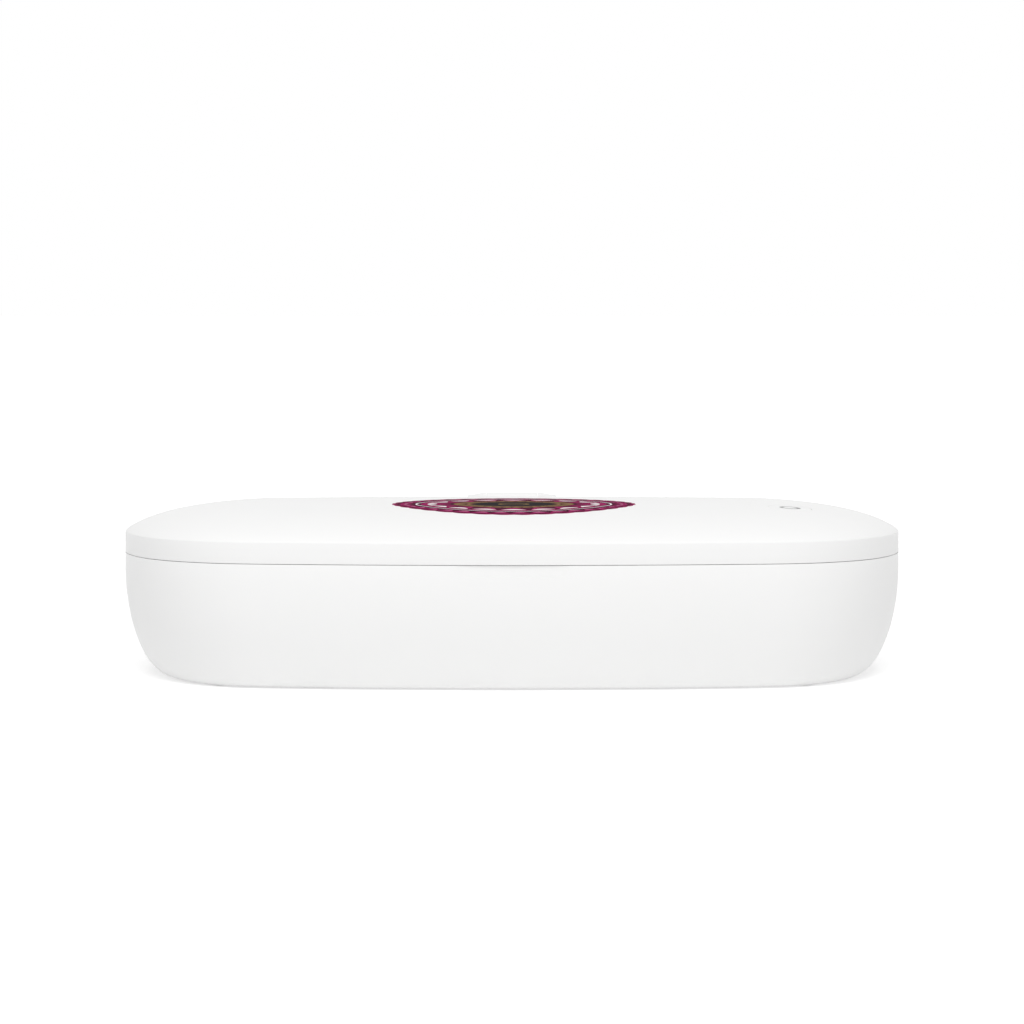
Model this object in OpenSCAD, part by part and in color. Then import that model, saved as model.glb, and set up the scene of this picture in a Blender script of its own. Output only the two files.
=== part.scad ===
// Ultraviolet sanitiser box for phones: a shallow tub with a hinged pillow-shaped lid.
// Origin: middle of the case outline, on the surface that the feet stand on.
// +X to the right, +Y to the hinge at the back, +Z up. Millimetres.

/* [Case outline] */
// Length of the case, left to right
case_length = 218; // [212:1:226]
// Depth of the case, front to back
case_depth = 119; // [116:1:124]
// Radius of the long sides' gentle bow
long_side_radius = 490; // [460:1:540]
// Radius of the ends' bow
end_radius = 70; // [66:1:76]
// Radius of the corners in plan
corner_radius = 42; // [40:0.2:44]

/* [Side profile] */
// Height of the underside above the table
underside_z = 0.6; // [0.4:0.1:1]
// Height of the lid's lower edge above the table
seam_z = 34.4; // [33.6:0.2:38]
// Height at which the tub's sides begin to curve in
side_top_z = 29.5; // [28:0.5:31]
// How far the sides have curved in at the underside
underside_inset = 12; // [8:0.5:12.5]
// Exponent of the side curve, 2 is an ellipse
side_power = 1.95; // [1.6:0.05:2.2]
// Share by which the underside is deeper, front to back, than its inset makes it
underside_stretch = 0.06; // [0:0.01:0.07]
// How far the sides' inner faces have curved in at the floor
floor_inset = 8.5; // [7:0.5:9]
// Exponent of the sides' inner curve, 2 is an ellipse
inner_power = 1.7; // [1.5:0.1:2]
// Upright band round the lid
band_height = 5.7; // [5.4:0.1:6.5]
// Rise of the lid's dome above its band
dome_rise = 7.9; // [7.3:0.1:9]
// Exponent that keeps the dome's middle flat
dome_fullness = 3.9; // [3.6:0.1:5]
// Exponent of the dome's shoulder
dome_shoulder = 0.8; // [0.76:0.02:1]
// Open line between the tub and the lid
seam_gap = 0.3; // [0.2:0.05:0.5]
// Small break along the rims' outer edges
edge_break = 0.3; // [0.2:0.05:0.5]

/* [Walls] */
// Wall and floor of the tub
base_wall = 2.4; // [2:0.1:2.8]
// Wall of the lid
lid_wall = 2.2; // [2:0.1:2.6]
// Wall of both rims, outside the step that holds the tray and the liner
rim_wall = 1.4; // [1.1:0.1:1.6]
// Wall of the tray and of the lid's liner
liner_wall = 1.3; // [1.1:0.1:1.5]
// Thickness of the flanges of the tray and the liner
flange_thickness = 1.2; // [1:0.1:1.4]
// Clearance round pieces that drop into a step
trim_gap = 0.3; // [0.2:0.05:0.4]

/* [Chamber] */
// Inset of the tray's mouth from the outline
mouth_inset = 8.5; // [8:0.1:9.5]
// Height of the tray's floor above the table
tray_floor_z = 13; // [12.6:0.1:14]
// How far the tray's walls lean in, top to bottom
tray_draft = 1.5; // [1:0.1:2]
// Height of the liner's panel above the lid's lower edge
panel_rise = 4; // [3.6:0.1:4.2]
// Diameter of the clear rods that carry the phone
rod_diameter = 4; // [3:0.25:5]
// Height of the rods' underside above the tray's floor
rod_lift = 4; // [3:0.25:5]
// Distance of the inner rods from the middle
rod_inner_x = 28; // [24:1:32]
// Distance of the outer rods from the case's ends
rod_outer_inset = 37; // [34:1:39]
// Distance from a rod's end to the case outline
rod_end_inset = 13.5; // [13:0.25:15]
// Width of the saddles that hold the rods
saddle_width = 8; // [7:0.5:10]
// Length of the saddles along the rods
saddle_length = 5; // [4:0.5:6]

/* [Lamps] */
// Lamps in each row
lamp_count = 3; // [3:2:5]
// Distance between lamps
lamp_pitch = 56; // [52:1:60]
// Diameter of a lamp's quartz window
window_diameter = 12; // [10:0.5:13]
// Thickness of a quartz window
window_thickness = 1; // [0.8:0.1:1.2]
// Side of a square lamp package
lamp_size = 3.5; // [3:0.1:5]
// Height of a lamp package
lamp_height = 1.2; // [1:0.1:1.5]
// Width of the lamp boards
lamp_board_width = 14; // [12:0.5:16]
// Distance from the lamp boards' ends to the case's ends
lamp_board_inset = 34; // [33:1:36]
// Thickness of the boards
board_thickness = 1; // [0.8:0.1:1.2]
// Distance of a lamp board's screws from its middle
lamp_screw_x = 28; // [24:1:32]

/* [Control board] */
// Length of the control board
main_length = 64; // [60:1:68]
// Width of the control board
main_width = 31.8; // [30:0.2:34]
// Distance from the control board's rear edge to the case outline
main_edge_inset = 7.7; // [7.7:0.1:8.5]
// Distance of the control board's screws from its edges
main_screw_inset = 4; // [3.5:0.25:5]
// Thickness of the control board
main_thickness = 1.6; // [1.4:0.1:1.8]
// Height of the posts between the tray and the control board
main_stand_off = 0.7; // [0.6:0.1:1.2]

/* [Power inlet] */
// Width of the inlet's steel shell
inlet_width = 8.94; // [8.8:0.02:9.2]
// Height of the inlet's steel shell
inlet_height = 3.26; // [3.1:0.02:3.4]
// Depth of the inlet's steel shell
inlet_depth = 7.3; // [7:0.1:8]
// Wall of the inlet's steel shell
inlet_wall = 0.3; // [0.25:0.05:0.4]
// How far the inlet stands out past the control board
inlet_overhang = 3.4; // [3.2:0.1:3.5]
// Clearance round the inlet in the tub's wall
inlet_gap = 0.25; // [0.2:0.05:0.4]

/* [Power button] */
// Distance of the button's middle from the right end
button_end_inset = 32; // [30:0.5:34]
// Distance of the button's middle in front of the lid's middle line
button_front = 20.5; // [19:0.5:22]
// Diameter of the button's cap
button_diameter = 12; // [11:0.5:12.5]
// Clearance round the cap
button_gap = 0.2; // [0.15:0.05:0.3]
// Outer diameter of the ring in the cap
ring_diameter = 5.9; // [5:0.1:7]
// Width of the ring's line
ring_width = 1; // [0.8:0.1:1.2]
// Travel of the button
button_travel = 0.5; // [0.3:0.05:0.6]
// Width of the flange that keeps the cap in the lid
button_flange = 0.9; // [0.7:0.1:1.1]

/* [Hinge] */
// Distance of the hinge axis inside the case's rear edge
hinge_inset = 1.3; // [0.7:0.1:1.7]
// Height of the hinge axis above the lid's lower edge
hinge_rise = 9.4; // [8.4:0.1:9.6]
// Radius of the hinge knuckles
knuckle_radius = 3.3; // [3.1:0.1:3.6]
// Width of the tub's arm
arm_width = 15; // [14:0.5:17]
// Length of each knuckle on the lid
ear_length = 6.2; // [5.8:0.1:7]
// Radius of the outer ends of the lid's knuckles
ear_end_radius = 2.4; // [2.3:0.1:2.8]
// Gap between the arm and the lid
arm_gap = 0.3; // [0.2:0.05:0.4]
// Radius of the hinge pins
pin_radius = 1.8; // [1.6:0.05:2]
// Running clearance round the pins
pin_gap = 0.05; // [0.03:0.01:0.09]
// Radius of the hole through the hollow pin
pin_hole_radius = 1.15; // [1:0.05:1.25]

/* [Finger scoop] */
// Width of the scoop at its top
scoop_width = 32.4; // [28:0.4:36]
// Width of the scoop at its lower edge
scoop_foot_width = 25.6; // [22:0.4:27]
// Height of the scoop below the tub's rim
scoop_height = 3; // [2.6:0.1:3.6]
// Depth of the scoop at its top
scoop_depth = 2.4; // [2:0.1:2.8]

/* [Screws, feet and magnets] */
// Distance of the case screws and feet from the ends
foot_end_inset = 31; // [29:0.5:33]
// Distance of the case screws and feet from the long sides
foot_side_inset = 23.5; // [22:0.5:25]
// Diameter of the rubber feet
foot_diameter = 9.7; // [9:0.1:11]
// Depth of the recess for a foot
foot_recess = 0.6; // [0.5:0.1:0.8]
// Radius of the case screws' thread
case_screw_radius = 1.4; // [1.2:0.1:1.5]
// Length of the case screws below their heads
case_screw_length = 6; // [5:0.25:6.5]
// Radius of the small screws' thread
small_screw_radius = 1; // [0.8:0.1:1.1]
// Clearance between a screw and its hole
screw_gap = 0.03; // [0.02:0.01:0.05]
// Diameter of the closing magnets
magnet_diameter = 4; // [3.6:0.1:4.2]
// Thickness of the closing magnets
magnet_thickness = 2; // [1.5:0.1:2]
// Distance of the closing magnets from the middle
magnet_x = 58; // [54:1:62]
// Distance of the lid sensor and its magnet from the middle
sensor_x = 36; // [32:1:42]
// Distance of the lid's bumpers from the middle
bumper_x = 66; // [64:0.5:68]
// Diameter of the lid's bumpers
bumper_diameter = 4.4; // [4:0.1:5]

/* [Leads] */
// Diameter of the leads
lead_diameter = 1.5; // [1.2:0.1:1.6]

/* [Hidden] */

// Steps along each corner, long side and end of the outline
corner_steps = 12;
long_steps = 10;
end_steps = 8;
// Steps along the side curve and the dome
side_steps = 11;
dome_steps = 12;
// Sides of a round hole or pin
round_sides = 48;
// Overlap that makes a cut or a joined form unambiguous
bite = 0.2;

half_length = case_length / 2;
half_depth = case_depth / 2;
floor_z = underside_z + base_wall;
rim_z = seam_z - seam_gap;
// The tray's flange lies this far below the tub's rim
flange_drop = 0.1;
flange_z = rim_z - flange_drop;
ledge_z = flange_z - flange_thickness;
tray_under_z = tray_floor_z - liner_wall;
// The liner's flange clears the lid's lower edge by this much
liner_lift = 0.3;
liner_z = seam_z + liner_lift;
lid_ledge_z = liner_z + flange_thickness;
panel_z = seam_z + panel_rise;
panel_top_z = panel_z + liner_wall + bite;
band_top_z = seam_z + band_height;
flange_inset = rim_wall + trim_gap;
hinge_y = half_depth - hinge_inset;
hinge_z = seam_z + hinge_rise;
rod_outer_x = half_length - rod_outer_inset;
button_x = half_length - button_end_inset;
button_y = -button_front;
// The dome is level from this inset to its middle
dome_reach = corner_radius - 2;

white = [0.95, 0.95, 0.945];
silver = [0.72, 0.73, 0.74];
steel = [0.62, 0.63, 0.65];
clear = [0.8, 0.88, 0.92, 0.5];
board_green = [0.08, 0.32, 0.2];
dark = [0.1, 0.1, 0.11];
ring_grey = [0.6, 0.6, 0.61];

// ---- Outline: eight arcs that meet on a tangent ----

long_centre = [0, half_depth - long_side_radius];
end_centre = [half_length - end_radius, 0];

// Meeting point of two circles, on the right of the line from the first to the second
function meet(a, ra, b, rb) =
    let (d = norm(b - a), u = (b - a) / d, s = (ra * ra - rb * rb + d * d) / (2 * d),
         h = sqrt(ra * ra - s * s))
    a + s * u + h * [u.y, -u.x];

corner_centre = meet(long_centre, long_side_radius - corner_radius,
                     end_centre, end_radius - corner_radius);
// Half the angle that an end and a long side turn through
end_turn = atan2(corner_centre.y, corner_centre.x - end_centre.x);
long_turn = atan2(corner_centre.x, corner_centre.y - long_centre.y);

function arc_points(centre, radius, from, to, steps) =
    [for (i = [0:steps - 1]) let (a = from + (to - from) * i / steps)
        centre + radius * [cos(a), sin(a)]];

// The outline drawn in by an inset, anticlockwise from the right end
function outline(inset) =
    let (c = corner_centre, rc = corner_radius - inset,
         rl = long_side_radius - inset, re = end_radius - inset)
    concat(
        arc_points(end_centre, re, -end_turn, end_turn, end_steps),
        arc_points(c, rc, end_turn, 90 - long_turn, corner_steps),
        arc_points(long_centre, rl, 90 - long_turn, 90 + long_turn, long_steps),
        arc_points([-c.x, c.y], rc, 90 + long_turn, 180 - end_turn, corner_steps),
        arc_points(-end_centre, re, 180 - end_turn, 180 + end_turn, end_steps),
        arc_points(-c, rc, 180 + end_turn, 270 - long_turn, corner_steps),
        arc_points(-long_centre, rl, 270 - long_turn, 270 + long_turn, long_steps),
        arc_points([c.x, -c.y], rc, 270 + long_turn, 360 - end_turn, corner_steps));

// Distance of a point from the outline, inwards
function inset_at(p) =
    let (q = [abs(p.x), abs(p.y)], v = q - corner_centre, a = atan2(v.y, v.x))
    a > end_turn && a < 90 - long_turn
        ? corner_radius - norm(v)
        : min(long_side_radius - norm(q - long_centre), end_radius - norm(q - end_centre));

// Distance of the long side and its corners from the middle line at x, drawn in by an inset
function side_y(x, inset) =
    let (across = abs(x), long_end = (long_side_radius - inset) * sin(long_turn))
    across <= long_end
        ? long_centre.y + sqrt(pow(long_side_radius - inset, 2) - x * x)
        : corner_centre.y + sqrt(pow(corner_radius - inset, 2) - pow(across - corner_centre.x, 2));

// Height of the lid's outer surface at an inset
function dome_z(inset) =
    band_top_z + dome_rise
        * pow(1 - pow(1 - min(inset, dome_reach) / half_depth, dome_fullness), dome_shoulder);

// One point of a side curve that falls from top_z to foot_z, at an angle from 0 to 90,
// and curves in by a reach, with an exponent: its inset, its height and the stretch there
function side_point(t, start_inset, top_z, foot_z, reach, power) =
    let (z = top_z - (top_z - foot_z) * pow(sin(t), 2 / power))
    [start_inset + reach * (1 - pow(cos(t), 2 / power)), z,
     1 + underside_stretch * pow((top_z - z) / (top_z - underside_z), 6)];

// ---- Builders ----

// A solid whose surface follows a path of [inset, height] round the outline,
// capped level at the path's two ends; a third value stretches a ring front to back
module ringed(path) {
    rings = [for (p = path) [for (q = outline(p[0])) [q.x, q.y * (is_undef(p[2]) ? 1 : p[2]), p[1]]]];
    count = len(rings[0]);
    last = len(rings) - 1;
    sides = [for (k = [0:last - 1], i = [0:count - 1]) let (j = (i + 1) % count)
        each [[k * count + i, (k + 1) * count + i, k * count + j],
              [k * count + j, (k + 1) * count + i, (k + 1) * count + j]]];
    caps = [[for (i = [0:count - 1]) i], [for (i = [count - 1:-1:0]) last * count + i]];
    polyhedron(points = [for (r = rings) each r], faces = concat(sides, caps));
}

// A drawing of [y, z] points drawn out along X from one place to another
module across(from, to) {
    translate([from, 0, 0]) rotate([90, 0, 90]) linear_extrude(to - from) children();
}

// A round bar or hole along Z
module post(x, y, from, to, radius) {
    translate([x, y, from]) cylinder(h = to - from, r = radius, $fn = round_sides);
}

// A round bar or hole along X
module bar_x(from, to, y, z, radius) {
    translate([from, y, z]) rotate([0, 90, 0]) cylinder(h = to - from, r = radius, $fn = round_sides);
}

// A box between two corners
module block(low, high) {
    translate(low) cube(high - low);
}

// One copy at each of four places that mirror each other
module four(x, y) {
    for (sx = [-1, 1], sy = [-1, 1]) translate([sx * x, sy * y, 0]) children();
}

// One copy at each end of the row along X
module pair(x) {
    for (sx = [-1, 1]) translate([sx * x, 0, 0]) children();
}

// One copy at each lamp
module at_lamps() {
    for (i = [0:lamp_count - 1]) translate([(i - (lamp_count - 1) / 2) * lamp_pitch, 0, 0]) children();
}

// A pan-headed screw along Z: the head's seat at from, the thread running by length
module screw(from, length, thread_radius, head_radius, head_height, up = true) {
    translate([0, 0, from]) mirror([0, 0, up ? 0 : 1]) {
        difference() {
            translate([0, 0, -head_height]) cylinder(h = head_height, r = head_radius, $fn = round_sides);
            // cross recess
            for (a = [0, 90]) rotate(a)
                translate([-head_radius * 0.6, -head_radius * 0.14, -head_height - bite])
                    cube([head_radius * 1.2, head_radius * 0.28, head_height * 0.5 + bite]);
        }
        translate([0, 0, -bite]) cylinder(h = length + bite, r = thread_radius, $fn = round_sides);
    }
}

// ---- Leads: round tubes swept along a smooth route ----

// Point on the smooth curve through four points, between the middle two
function spline_point(a, b, c, d, t) =
    0.5 * (2 * b + (c - a) * t + (2 * a - 5 * b + 4 * c - d) * t * t
        + (3 * b - a - 3 * c + d) * t * t * t);

// The curve runs straight at its ends, square to what it meets
function smooth_route(p, steps = 3) =
    let (n = len(p) - 1, head = 2 * p[0] - p[1], tail = 2 * p[n] - p[n - 1])
    concat([for (i = [0:n - 1], k = [0:steps - 1])
        spline_point(i == 0 ? head : p[i - 1], p[i], p[i + 1], i == n - 1 ? tail : p[i + 2],
                     k / steps)], [p[n]]);

function unit(v) = v / norm(v);

// Direction of the route at each of its points
function headings(p, first, last) =
    let (n = len(p) - 1)
    [for (i = [0:n]) i == 0 ? unit(first) : i == n ? unit(last) : unit(p[i + 1] - p[i - 1])];

// A side direction carried along the route without twist
function carried(side, heading) = unit(side - (side * heading) * heading);
function side_directions(h, start) =
    [for (i = 0, s = carried(start, h[0]); i < len(h);
          i = i + 1, s = i < len(h) ? carried(s, h[i]) : s) s];

module lead(points, start = [1, 0.2, 0.3]) {
    sides = 8;
    route = smooth_route(points);
    n = len(points) - 1;
    h = headings(route, points[1] - points[0], points[n] - points[n - 1]);
    s = side_directions(h, start);
    rings = [for (i = [0:len(route) - 1]) let (u = s[i], v = cross(h[i], u))
        [for (k = [0:sides - 1]) let (a = 360 * k / sides)
            route[i] + lead_diameter / 2 * (cos(a) * u + sin(a) * v)]];
    last = len(rings) - 1;
    walls = [for (k = [0:last - 1], i = [0:sides - 1]) let (j = (i + 1) % sides)
        each [[k * sides + i, (k + 1) * sides + i, k * sides + j],
              [k * sides + j, (k + 1) * sides + i, (k + 1) * sides + j]]];
    caps = [[for (i = [0:sides - 1]) i], [for (i = [sides - 1:-1:0]) last * sides + i]];
    polyhedron(points = [for (r = rings) each r], faces = concat(walls, caps));
}

// ---- Places that several pieces share ----

foot_x = half_length - foot_end_inset;
foot_y = half_depth - foot_side_inset;
foot_radius = foot_diameter / 2;

// Case screws: head seat in the tub's posts, top of the posts, foot of the tray's posts
case_head_radius = 2.6;
case_head_height = 2;
case_seat_z = floor_z + 2;
post_radius = 4.2;
post_top_z = floor_z + 5;
post_gap = 0.1;

// Lamp stacks, measured from the tray's floor and the liner's panel
window_ledge = 0.6;
window_gap = 0.05;
window_frame = 1.5;
lamp_gap = 0.2;
// The liner's window frames end this far short of the lamps
frame_gap = 0.2;
lamp_board_half = half_length - lamp_board_inset;
frame_drop = window_thickness + window_ledge;
base_lamp_z = tray_floor_z - frame_drop - lamp_gap;
base_lamp_board_z = base_lamp_z - lamp_height;
lid_lamp_z = panel_z + frame_drop + lamp_gap + frame_gap;
lid_lamp_board_z = lid_lamp_z + lamp_height;

small_head_radius = 1.9;
small_head_height = 1;
small_post_radius = 2.3;
board_screw_length = 2.9;
// What is left over the end of a blind screw hole
pilot_cover = 0.6;

// Control board, hung under the tray
main_z = tray_under_z - main_stand_off;
main_back_y = half_depth - main_edge_inset;
main_front_y = main_back_y - main_width;
main_half = main_length / 2;
main_under_z = main_z - main_thickness;

// Power inlet, under the control board's rear edge
inlet_z = main_under_z - inlet_height / 2;
inlet_mouth_y = main_back_y + inlet_overhang;

// Button stack, measured down from the lid's surface at the button
button_top_z = dome_z(inset_at([button_x, button_y]));
guide_z = button_top_z - 3.25;
button_flange_height = 0.8;
cap_under_z = guide_z - button_flange_height;
cap_wall = 1.8;
plunger_radius = 1;
plunger_bore_gap = 0.08;
switch_height = 1;
switch_size = 6;
// The plunger stands this far out of the switch
plunger_stand = 1;
switch_top_z = cap_under_z - plunger_stand;
switch_z = switch_top_z - switch_height;
plunger_foot_z = switch_z + button_travel + 0.1;
button_board_z = switch_z - board_thickness;
button_board_left = 17;
button_board_right = 12;
button_board_half_width = 6;
button_screw_x = 9.6;
guide_radius = 8.4;
cap_radius = button_diameter / 2;
button_flange_radius = cap_radius + button_flange;

// Hinge
arm_half = arm_width / 2;
ear_x = arm_half + arm_gap;
ear_end_x = ear_x + ear_length;
pin_bore = pin_radius + pin_gap;
// Pins are held in the lid's knuckles with this much room
pin_seat = pin_radius + screw_gap;
pin_start_x = 1;
pin_length = 12.2;
sleeve_end_x = ear_x + 3.2;
channel_radius = 1.3;
channel_x = sleeve_end_x + 1;
// The lead's channel falls from the axis into the lid at this angle
channel_fall = 16;
// Height at which the lead enters the tub's arm
channel_z = rim_z - 3.6;
// The tub's arm begins this far below its rim, outside and inside
arm_root = 10;
arm_inner_root = 7;
sleeve_gap = 0.35;

magnet_inset = (base_wall + mouth_inset - liner_wall) / 2;
magnet_y = -side_y(magnet_x, magnet_inset);
magnet_radius = magnet_diameter / 2;
sensor_y = -side_y(sensor_x, magnet_inset);
sensor_width = 4.2;
sensor_height = 3;
sensor_thickness = 1.5;
bumper_y = -side_y(bumper_x, magnet_inset);

// ---- Tub ----

tub_path = concat(
    [for (i = [side_steps:-1:0])
        side_point(90 * i / side_steps, 0, side_top_z, underside_z, underside_inset, side_power)],
    [[0, rim_z - edge_break], [edge_break, rim_z], [rim_wall, rim_z], [rim_wall, ledge_z],
     [base_wall, ledge_z]],
    [for (i = [0:side_steps - 2])
        side_point(90 * i / (side_steps - 2), base_wall, side_top_z, floor_z, floor_inset, inner_power)]);

// Side view of the tub's arm: a round eye on a stem that grows out of the rear wall
module arm_drawing() {
    translate([hinge_y, hinge_z]) circle(r = knuckle_radius, $fn = round_sides);
    polygon([
        [hinge_y - knuckle_radius, hinge_z],
        [hinge_y - knuckle_radius, rim_z - arm_inner_root / 2],
        [half_depth - base_wall / 2 - 1, rim_z - arm_inner_root],
        [half_depth - base_wall / 2, rim_z - arm_root],
        [half_depth - 0.6, rim_z - arm_root],
        [hinge_y + knuckle_radius, rim_z - 1],
        [hinge_y + knuckle_radius, hinge_z]]);
}

// The wedge of the finger scoop, seen from the front and cut back along a slope
module scoop_cut() {
    front = side_y(0, 0);
    intersection() {
        translate([0, -front + scoop_depth, rim_z]) rotate([90, 0, 0])
            linear_extrude(scoop_depth + 4) polygon([
                [-scoop_width / 2, bite], [scoop_width / 2, bite],
                [scoop_width / 2, -scoop_height * 0.35], [scoop_foot_width / 2, -scoop_height],
                [-scoop_foot_width / 2, -scoop_height], [-scoop_width / 2, -scoop_height * 0.35]]);
        across(-scoop_width, scoop_width) polygon([
            [-front + scoop_depth, rim_z + 1], [-front + scoop_depth, rim_z],
            [-front - bite, rim_z - scoop_height - bite], [-front - 3, rim_z - scoop_height - bite],
            [-front - 3, rim_z + 1]]);
    }
}

// Solid wall behind the scoop, in place of the step for the tray
module scoop_backing(gap = 0) {
    front = side_y(0, 0);
    half = scoop_width / 2 + 1.2 + gap;
    block([-half, -front + rim_wall - 0.4, rim_z - scoop_height - 3],
          [half, -front + scoop_depth + 1.2 + gap, rim_z + (gap > 0 ? 1 : 0)]);
}

// Slot with round ends for the inlet, along Y
module inlet_slot(from, to, grow) {
    height = inlet_height + 2 * grow;
    reach = (inlet_width - inlet_height) / 2;
    translate([0, to, inlet_z]) rotate([90, 0, 0]) linear_extrude(to - from) {
        for (sx = [-1, 1]) translate([sx * reach, 0]) circle(d = height, $fn = round_sides);
        square([2 * reach, height], center = true);
    }
}

module base_shell() color(white) difference() {
    union() {
        difference() {
            ringed(tub_path);
            inlet_slot(half_depth - 12, half_depth + 1, inlet_gap);
        }
        across(-arm_half, arm_half) arm_drawing();
        scoop_backing();
        four(foot_x, foot_y) post(0, 0, floor_z - bite, post_top_z, post_radius);
    }
    scoop_cut();
    bar_x(-arm_half - 1, arm_half + 1, hinge_y, hinge_z, pin_bore);
    post(0, hinge_y, channel_z, hinge_z, channel_radius);
    translate([0, hinge_y, channel_z]) {
        sphere(r = channel_radius, $fn = round_sides);
        rotate([90, 0, 0]) cylinder(h = 8, r = channel_radius, $fn = round_sides);
    }
    four(foot_x, foot_y) {
        post(0, 0, underside_z - 1, underside_z + foot_recess, foot_radius + 0.15);
        post(0, 0, underside_z - 1, case_seat_z, case_head_radius + trim_gap);
        post(0, 0, 0, post_top_z + 1, case_screw_radius + trim_gap);
    }
}

// ---- Tray ----

tray_foot_inset = mouth_inset + tray_draft;

tray_path = [
    [tray_foot_inset + 2, tray_under_z],
    [tray_foot_inset + 0.8, tray_under_z + 0.3],
    [tray_foot_inset - liner_wall + 0.3, tray_under_z + 1.6],
    [tray_foot_inset - liner_wall, tray_under_z + 3],
    [mouth_inset - liner_wall, ledge_z],
    [flange_inset, ledge_z],
    [flange_inset, flange_z],
    [mouth_inset, flange_z],
    [mouth_inset + 0.4, flange_z - 0.4],
    [tray_foot_inset, tray_floor_z + 3],
    [tray_foot_inset + 0.5, tray_floor_z + 1.3],
    [tray_foot_inset + 1.4, tray_floor_z + 0.4],
    [tray_foot_inset + 2.8, tray_floor_z]];

rod_z = tray_floor_z + rod_lift + rod_diameter / 2;
rod_radius = rod_diameter / 2;
rod_gap = 0.03;

// Places of the rods along the tray
rod_places = [-rod_outer_x, -rod_inner_x, rod_inner_x, rod_outer_x];

// Half the length of the rod at x
function rod_half(x) = side_y(x, rod_end_inset);

module saddles() {
    for (x = rod_places, sy = [-1, 1]) {
        end = rod_half(x);
        low = sy > 0 ? end - saddle_length : -end;
        block([x - saddle_width / 2, low, tray_floor_z - bite],
              [x + saddle_width / 2, low + saddle_length, rod_z]);
    }
}

module tray_screw_posts() {
    four(foot_x, foot_y) post(0, 0, post_top_z + post_gap, tray_under_z + bite, post_radius);
}

module main_board_posts(from, to, radius) {
    middle = (main_front_y + main_back_y) / 2;
    reach_y = main_width / 2 - main_screw_inset;
    translate([0, middle, 0]) four(main_half - main_screw_inset, reach_y) post(0, 0, from, to, radius);
}

module inner_tray() color(silver) difference() {
    union() {
        ringed(tray_path);
        saddles();
        tray_screw_posts();
        at_lamps() post(0, 0, tray_floor_z - frame_drop, tray_floor_z - bite,
                        window_diameter / 2 + window_frame);
        pair(lamp_screw_x) post(0, 0, base_lamp_board_z, tray_under_z + bite, small_post_radius);
        main_board_posts(main_z, tray_under_z + bite, small_post_radius);
    }
    // grooves for the rods
    for (x = rod_places)
        translate([x, -rod_half(x), rod_z]) rotate([-90, 0, 0])
            cylinder(h = 2 * rod_half(x), r = rod_radius + rod_gap, $fn = round_sides);
    at_lamps() {
        post(0, 0, tray_floor_z - window_thickness, tray_floor_z + 1, window_diameter / 2 + window_gap);
        post(0, 0, tray_floor_z - frame_drop - 1, tray_floor_z, window_diameter / 2 - 1);
    }
    four(foot_x, foot_y)
        post(0, 0, post_top_z - 1, tray_under_z, case_screw_radius + screw_gap);
    pair(lamp_screw_x)
        post(0, 0, base_lamp_board_z - 1, tray_floor_z - pilot_cover, small_screw_radius + screw_gap);
    main_board_posts(main_z - 1, tray_floor_z - pilot_cover, small_screw_radius + screw_gap);
    // room for the arm and for the wall behind the scoop
    block([-arm_half - arm_gap, hinge_y - knuckle_radius - arm_gap, ledge_z - 5],
          [arm_half + arm_gap, half_depth + 1, flange_z + 1]);
    scoop_backing(trim_gap);
}

module tray_windows() color(clear) at_lamps()
    post(0, 0, tray_floor_z - window_thickness, tray_floor_z, window_diameter / 2);

module rack_rods() color(clear)
    for (x = rod_places)
        translate([x, -rod_half(x), rod_z]) rotate([-90, 0, 0])
            cylinder(h = 2 * rod_half(x), r = rod_radius, $fn = round_sides);

// ---- Electronics under the tray ----

module lamp_board(low, high) difference() {
    block([-lamp_board_half, -lamp_board_width / 2, low], [lamp_board_half, lamp_board_width / 2, high]);
    pair(lamp_screw_x) post(0, 0, low - 1, high + 1, small_screw_radius + trim_gap);
}

module lamps(low) at_lamps()
    block([-lamp_size / 2, -lamp_size / 2, low], [lamp_size / 2, lamp_size / 2, low + lamp_height]);

module base_lamp_board() color(board_green)
    lamp_board(base_lamp_board_z - board_thickness, base_lamp_board_z);

module base_lamps() color(steel) lamps(base_lamp_board_z);

module base_lamp_screws() color(steel) pair(lamp_screw_x)
    screw(base_lamp_board_z - board_thickness, board_screw_length, small_screw_radius,
          small_head_radius, small_head_height);

module main_board() color(board_green) difference() {
    block([-main_half, main_front_y, main_under_z], [main_half, main_back_y, main_z]);
    main_board_posts(main_under_z - 1, main_z + 1, small_screw_radius + trim_gap);
}

// Place on the board, from its middle and its front edge, and size of each chip
controller = [[9.5, 12.5], [7, 7, 1]];
lamp_driver = [[-3.5, 21], [5, 4, 1.5]];
inlet_switch = [[16, 23], [4, 6, 1.2]];
coil = [[-14.5, 18.5], [7, 7, 3]];
capacitor_place = [-3, 11];
capacitor_radius = 3.15;
capacitor_height = 5;

// A component that hangs from the board's underside
module component(part) {
    translate([part[0].x, main_front_y + part[0].y, main_under_z - part[1].z / 2])
        cube(part[1], center = true);
}

module board_chips() color(dark) for (chip = [controller, lamp_driver, inlet_switch]) component(chip);

module boost_coil() color(dark) component(coil);

module board_capacitor() color(steel)
    post(capacitor_place.x, main_front_y + capacitor_place.y, main_under_z - capacitor_height,
         main_under_z, capacitor_radius);

module board_screws() color(steel) {
    middle = (main_front_y + main_back_y) / 2;
    translate([0, middle, 0])
        four(main_half - main_screw_inset, main_width / 2 - main_screw_inset)
            screw(main_under_z, board_screw_length, small_screw_radius, small_head_radius,
                  small_head_height);
}

plug_size = [5, 4, 2];

// A plug housing seen from its middle, on a board's underside or top
module plug(x, y, z, along_y = true) {
    size = along_y ? plug_size : [plug_size.y, plug_size.x, plug_size.z];
    translate([x - size.x / 2, y - size.y / 2, z]) cube(size);
}

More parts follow.
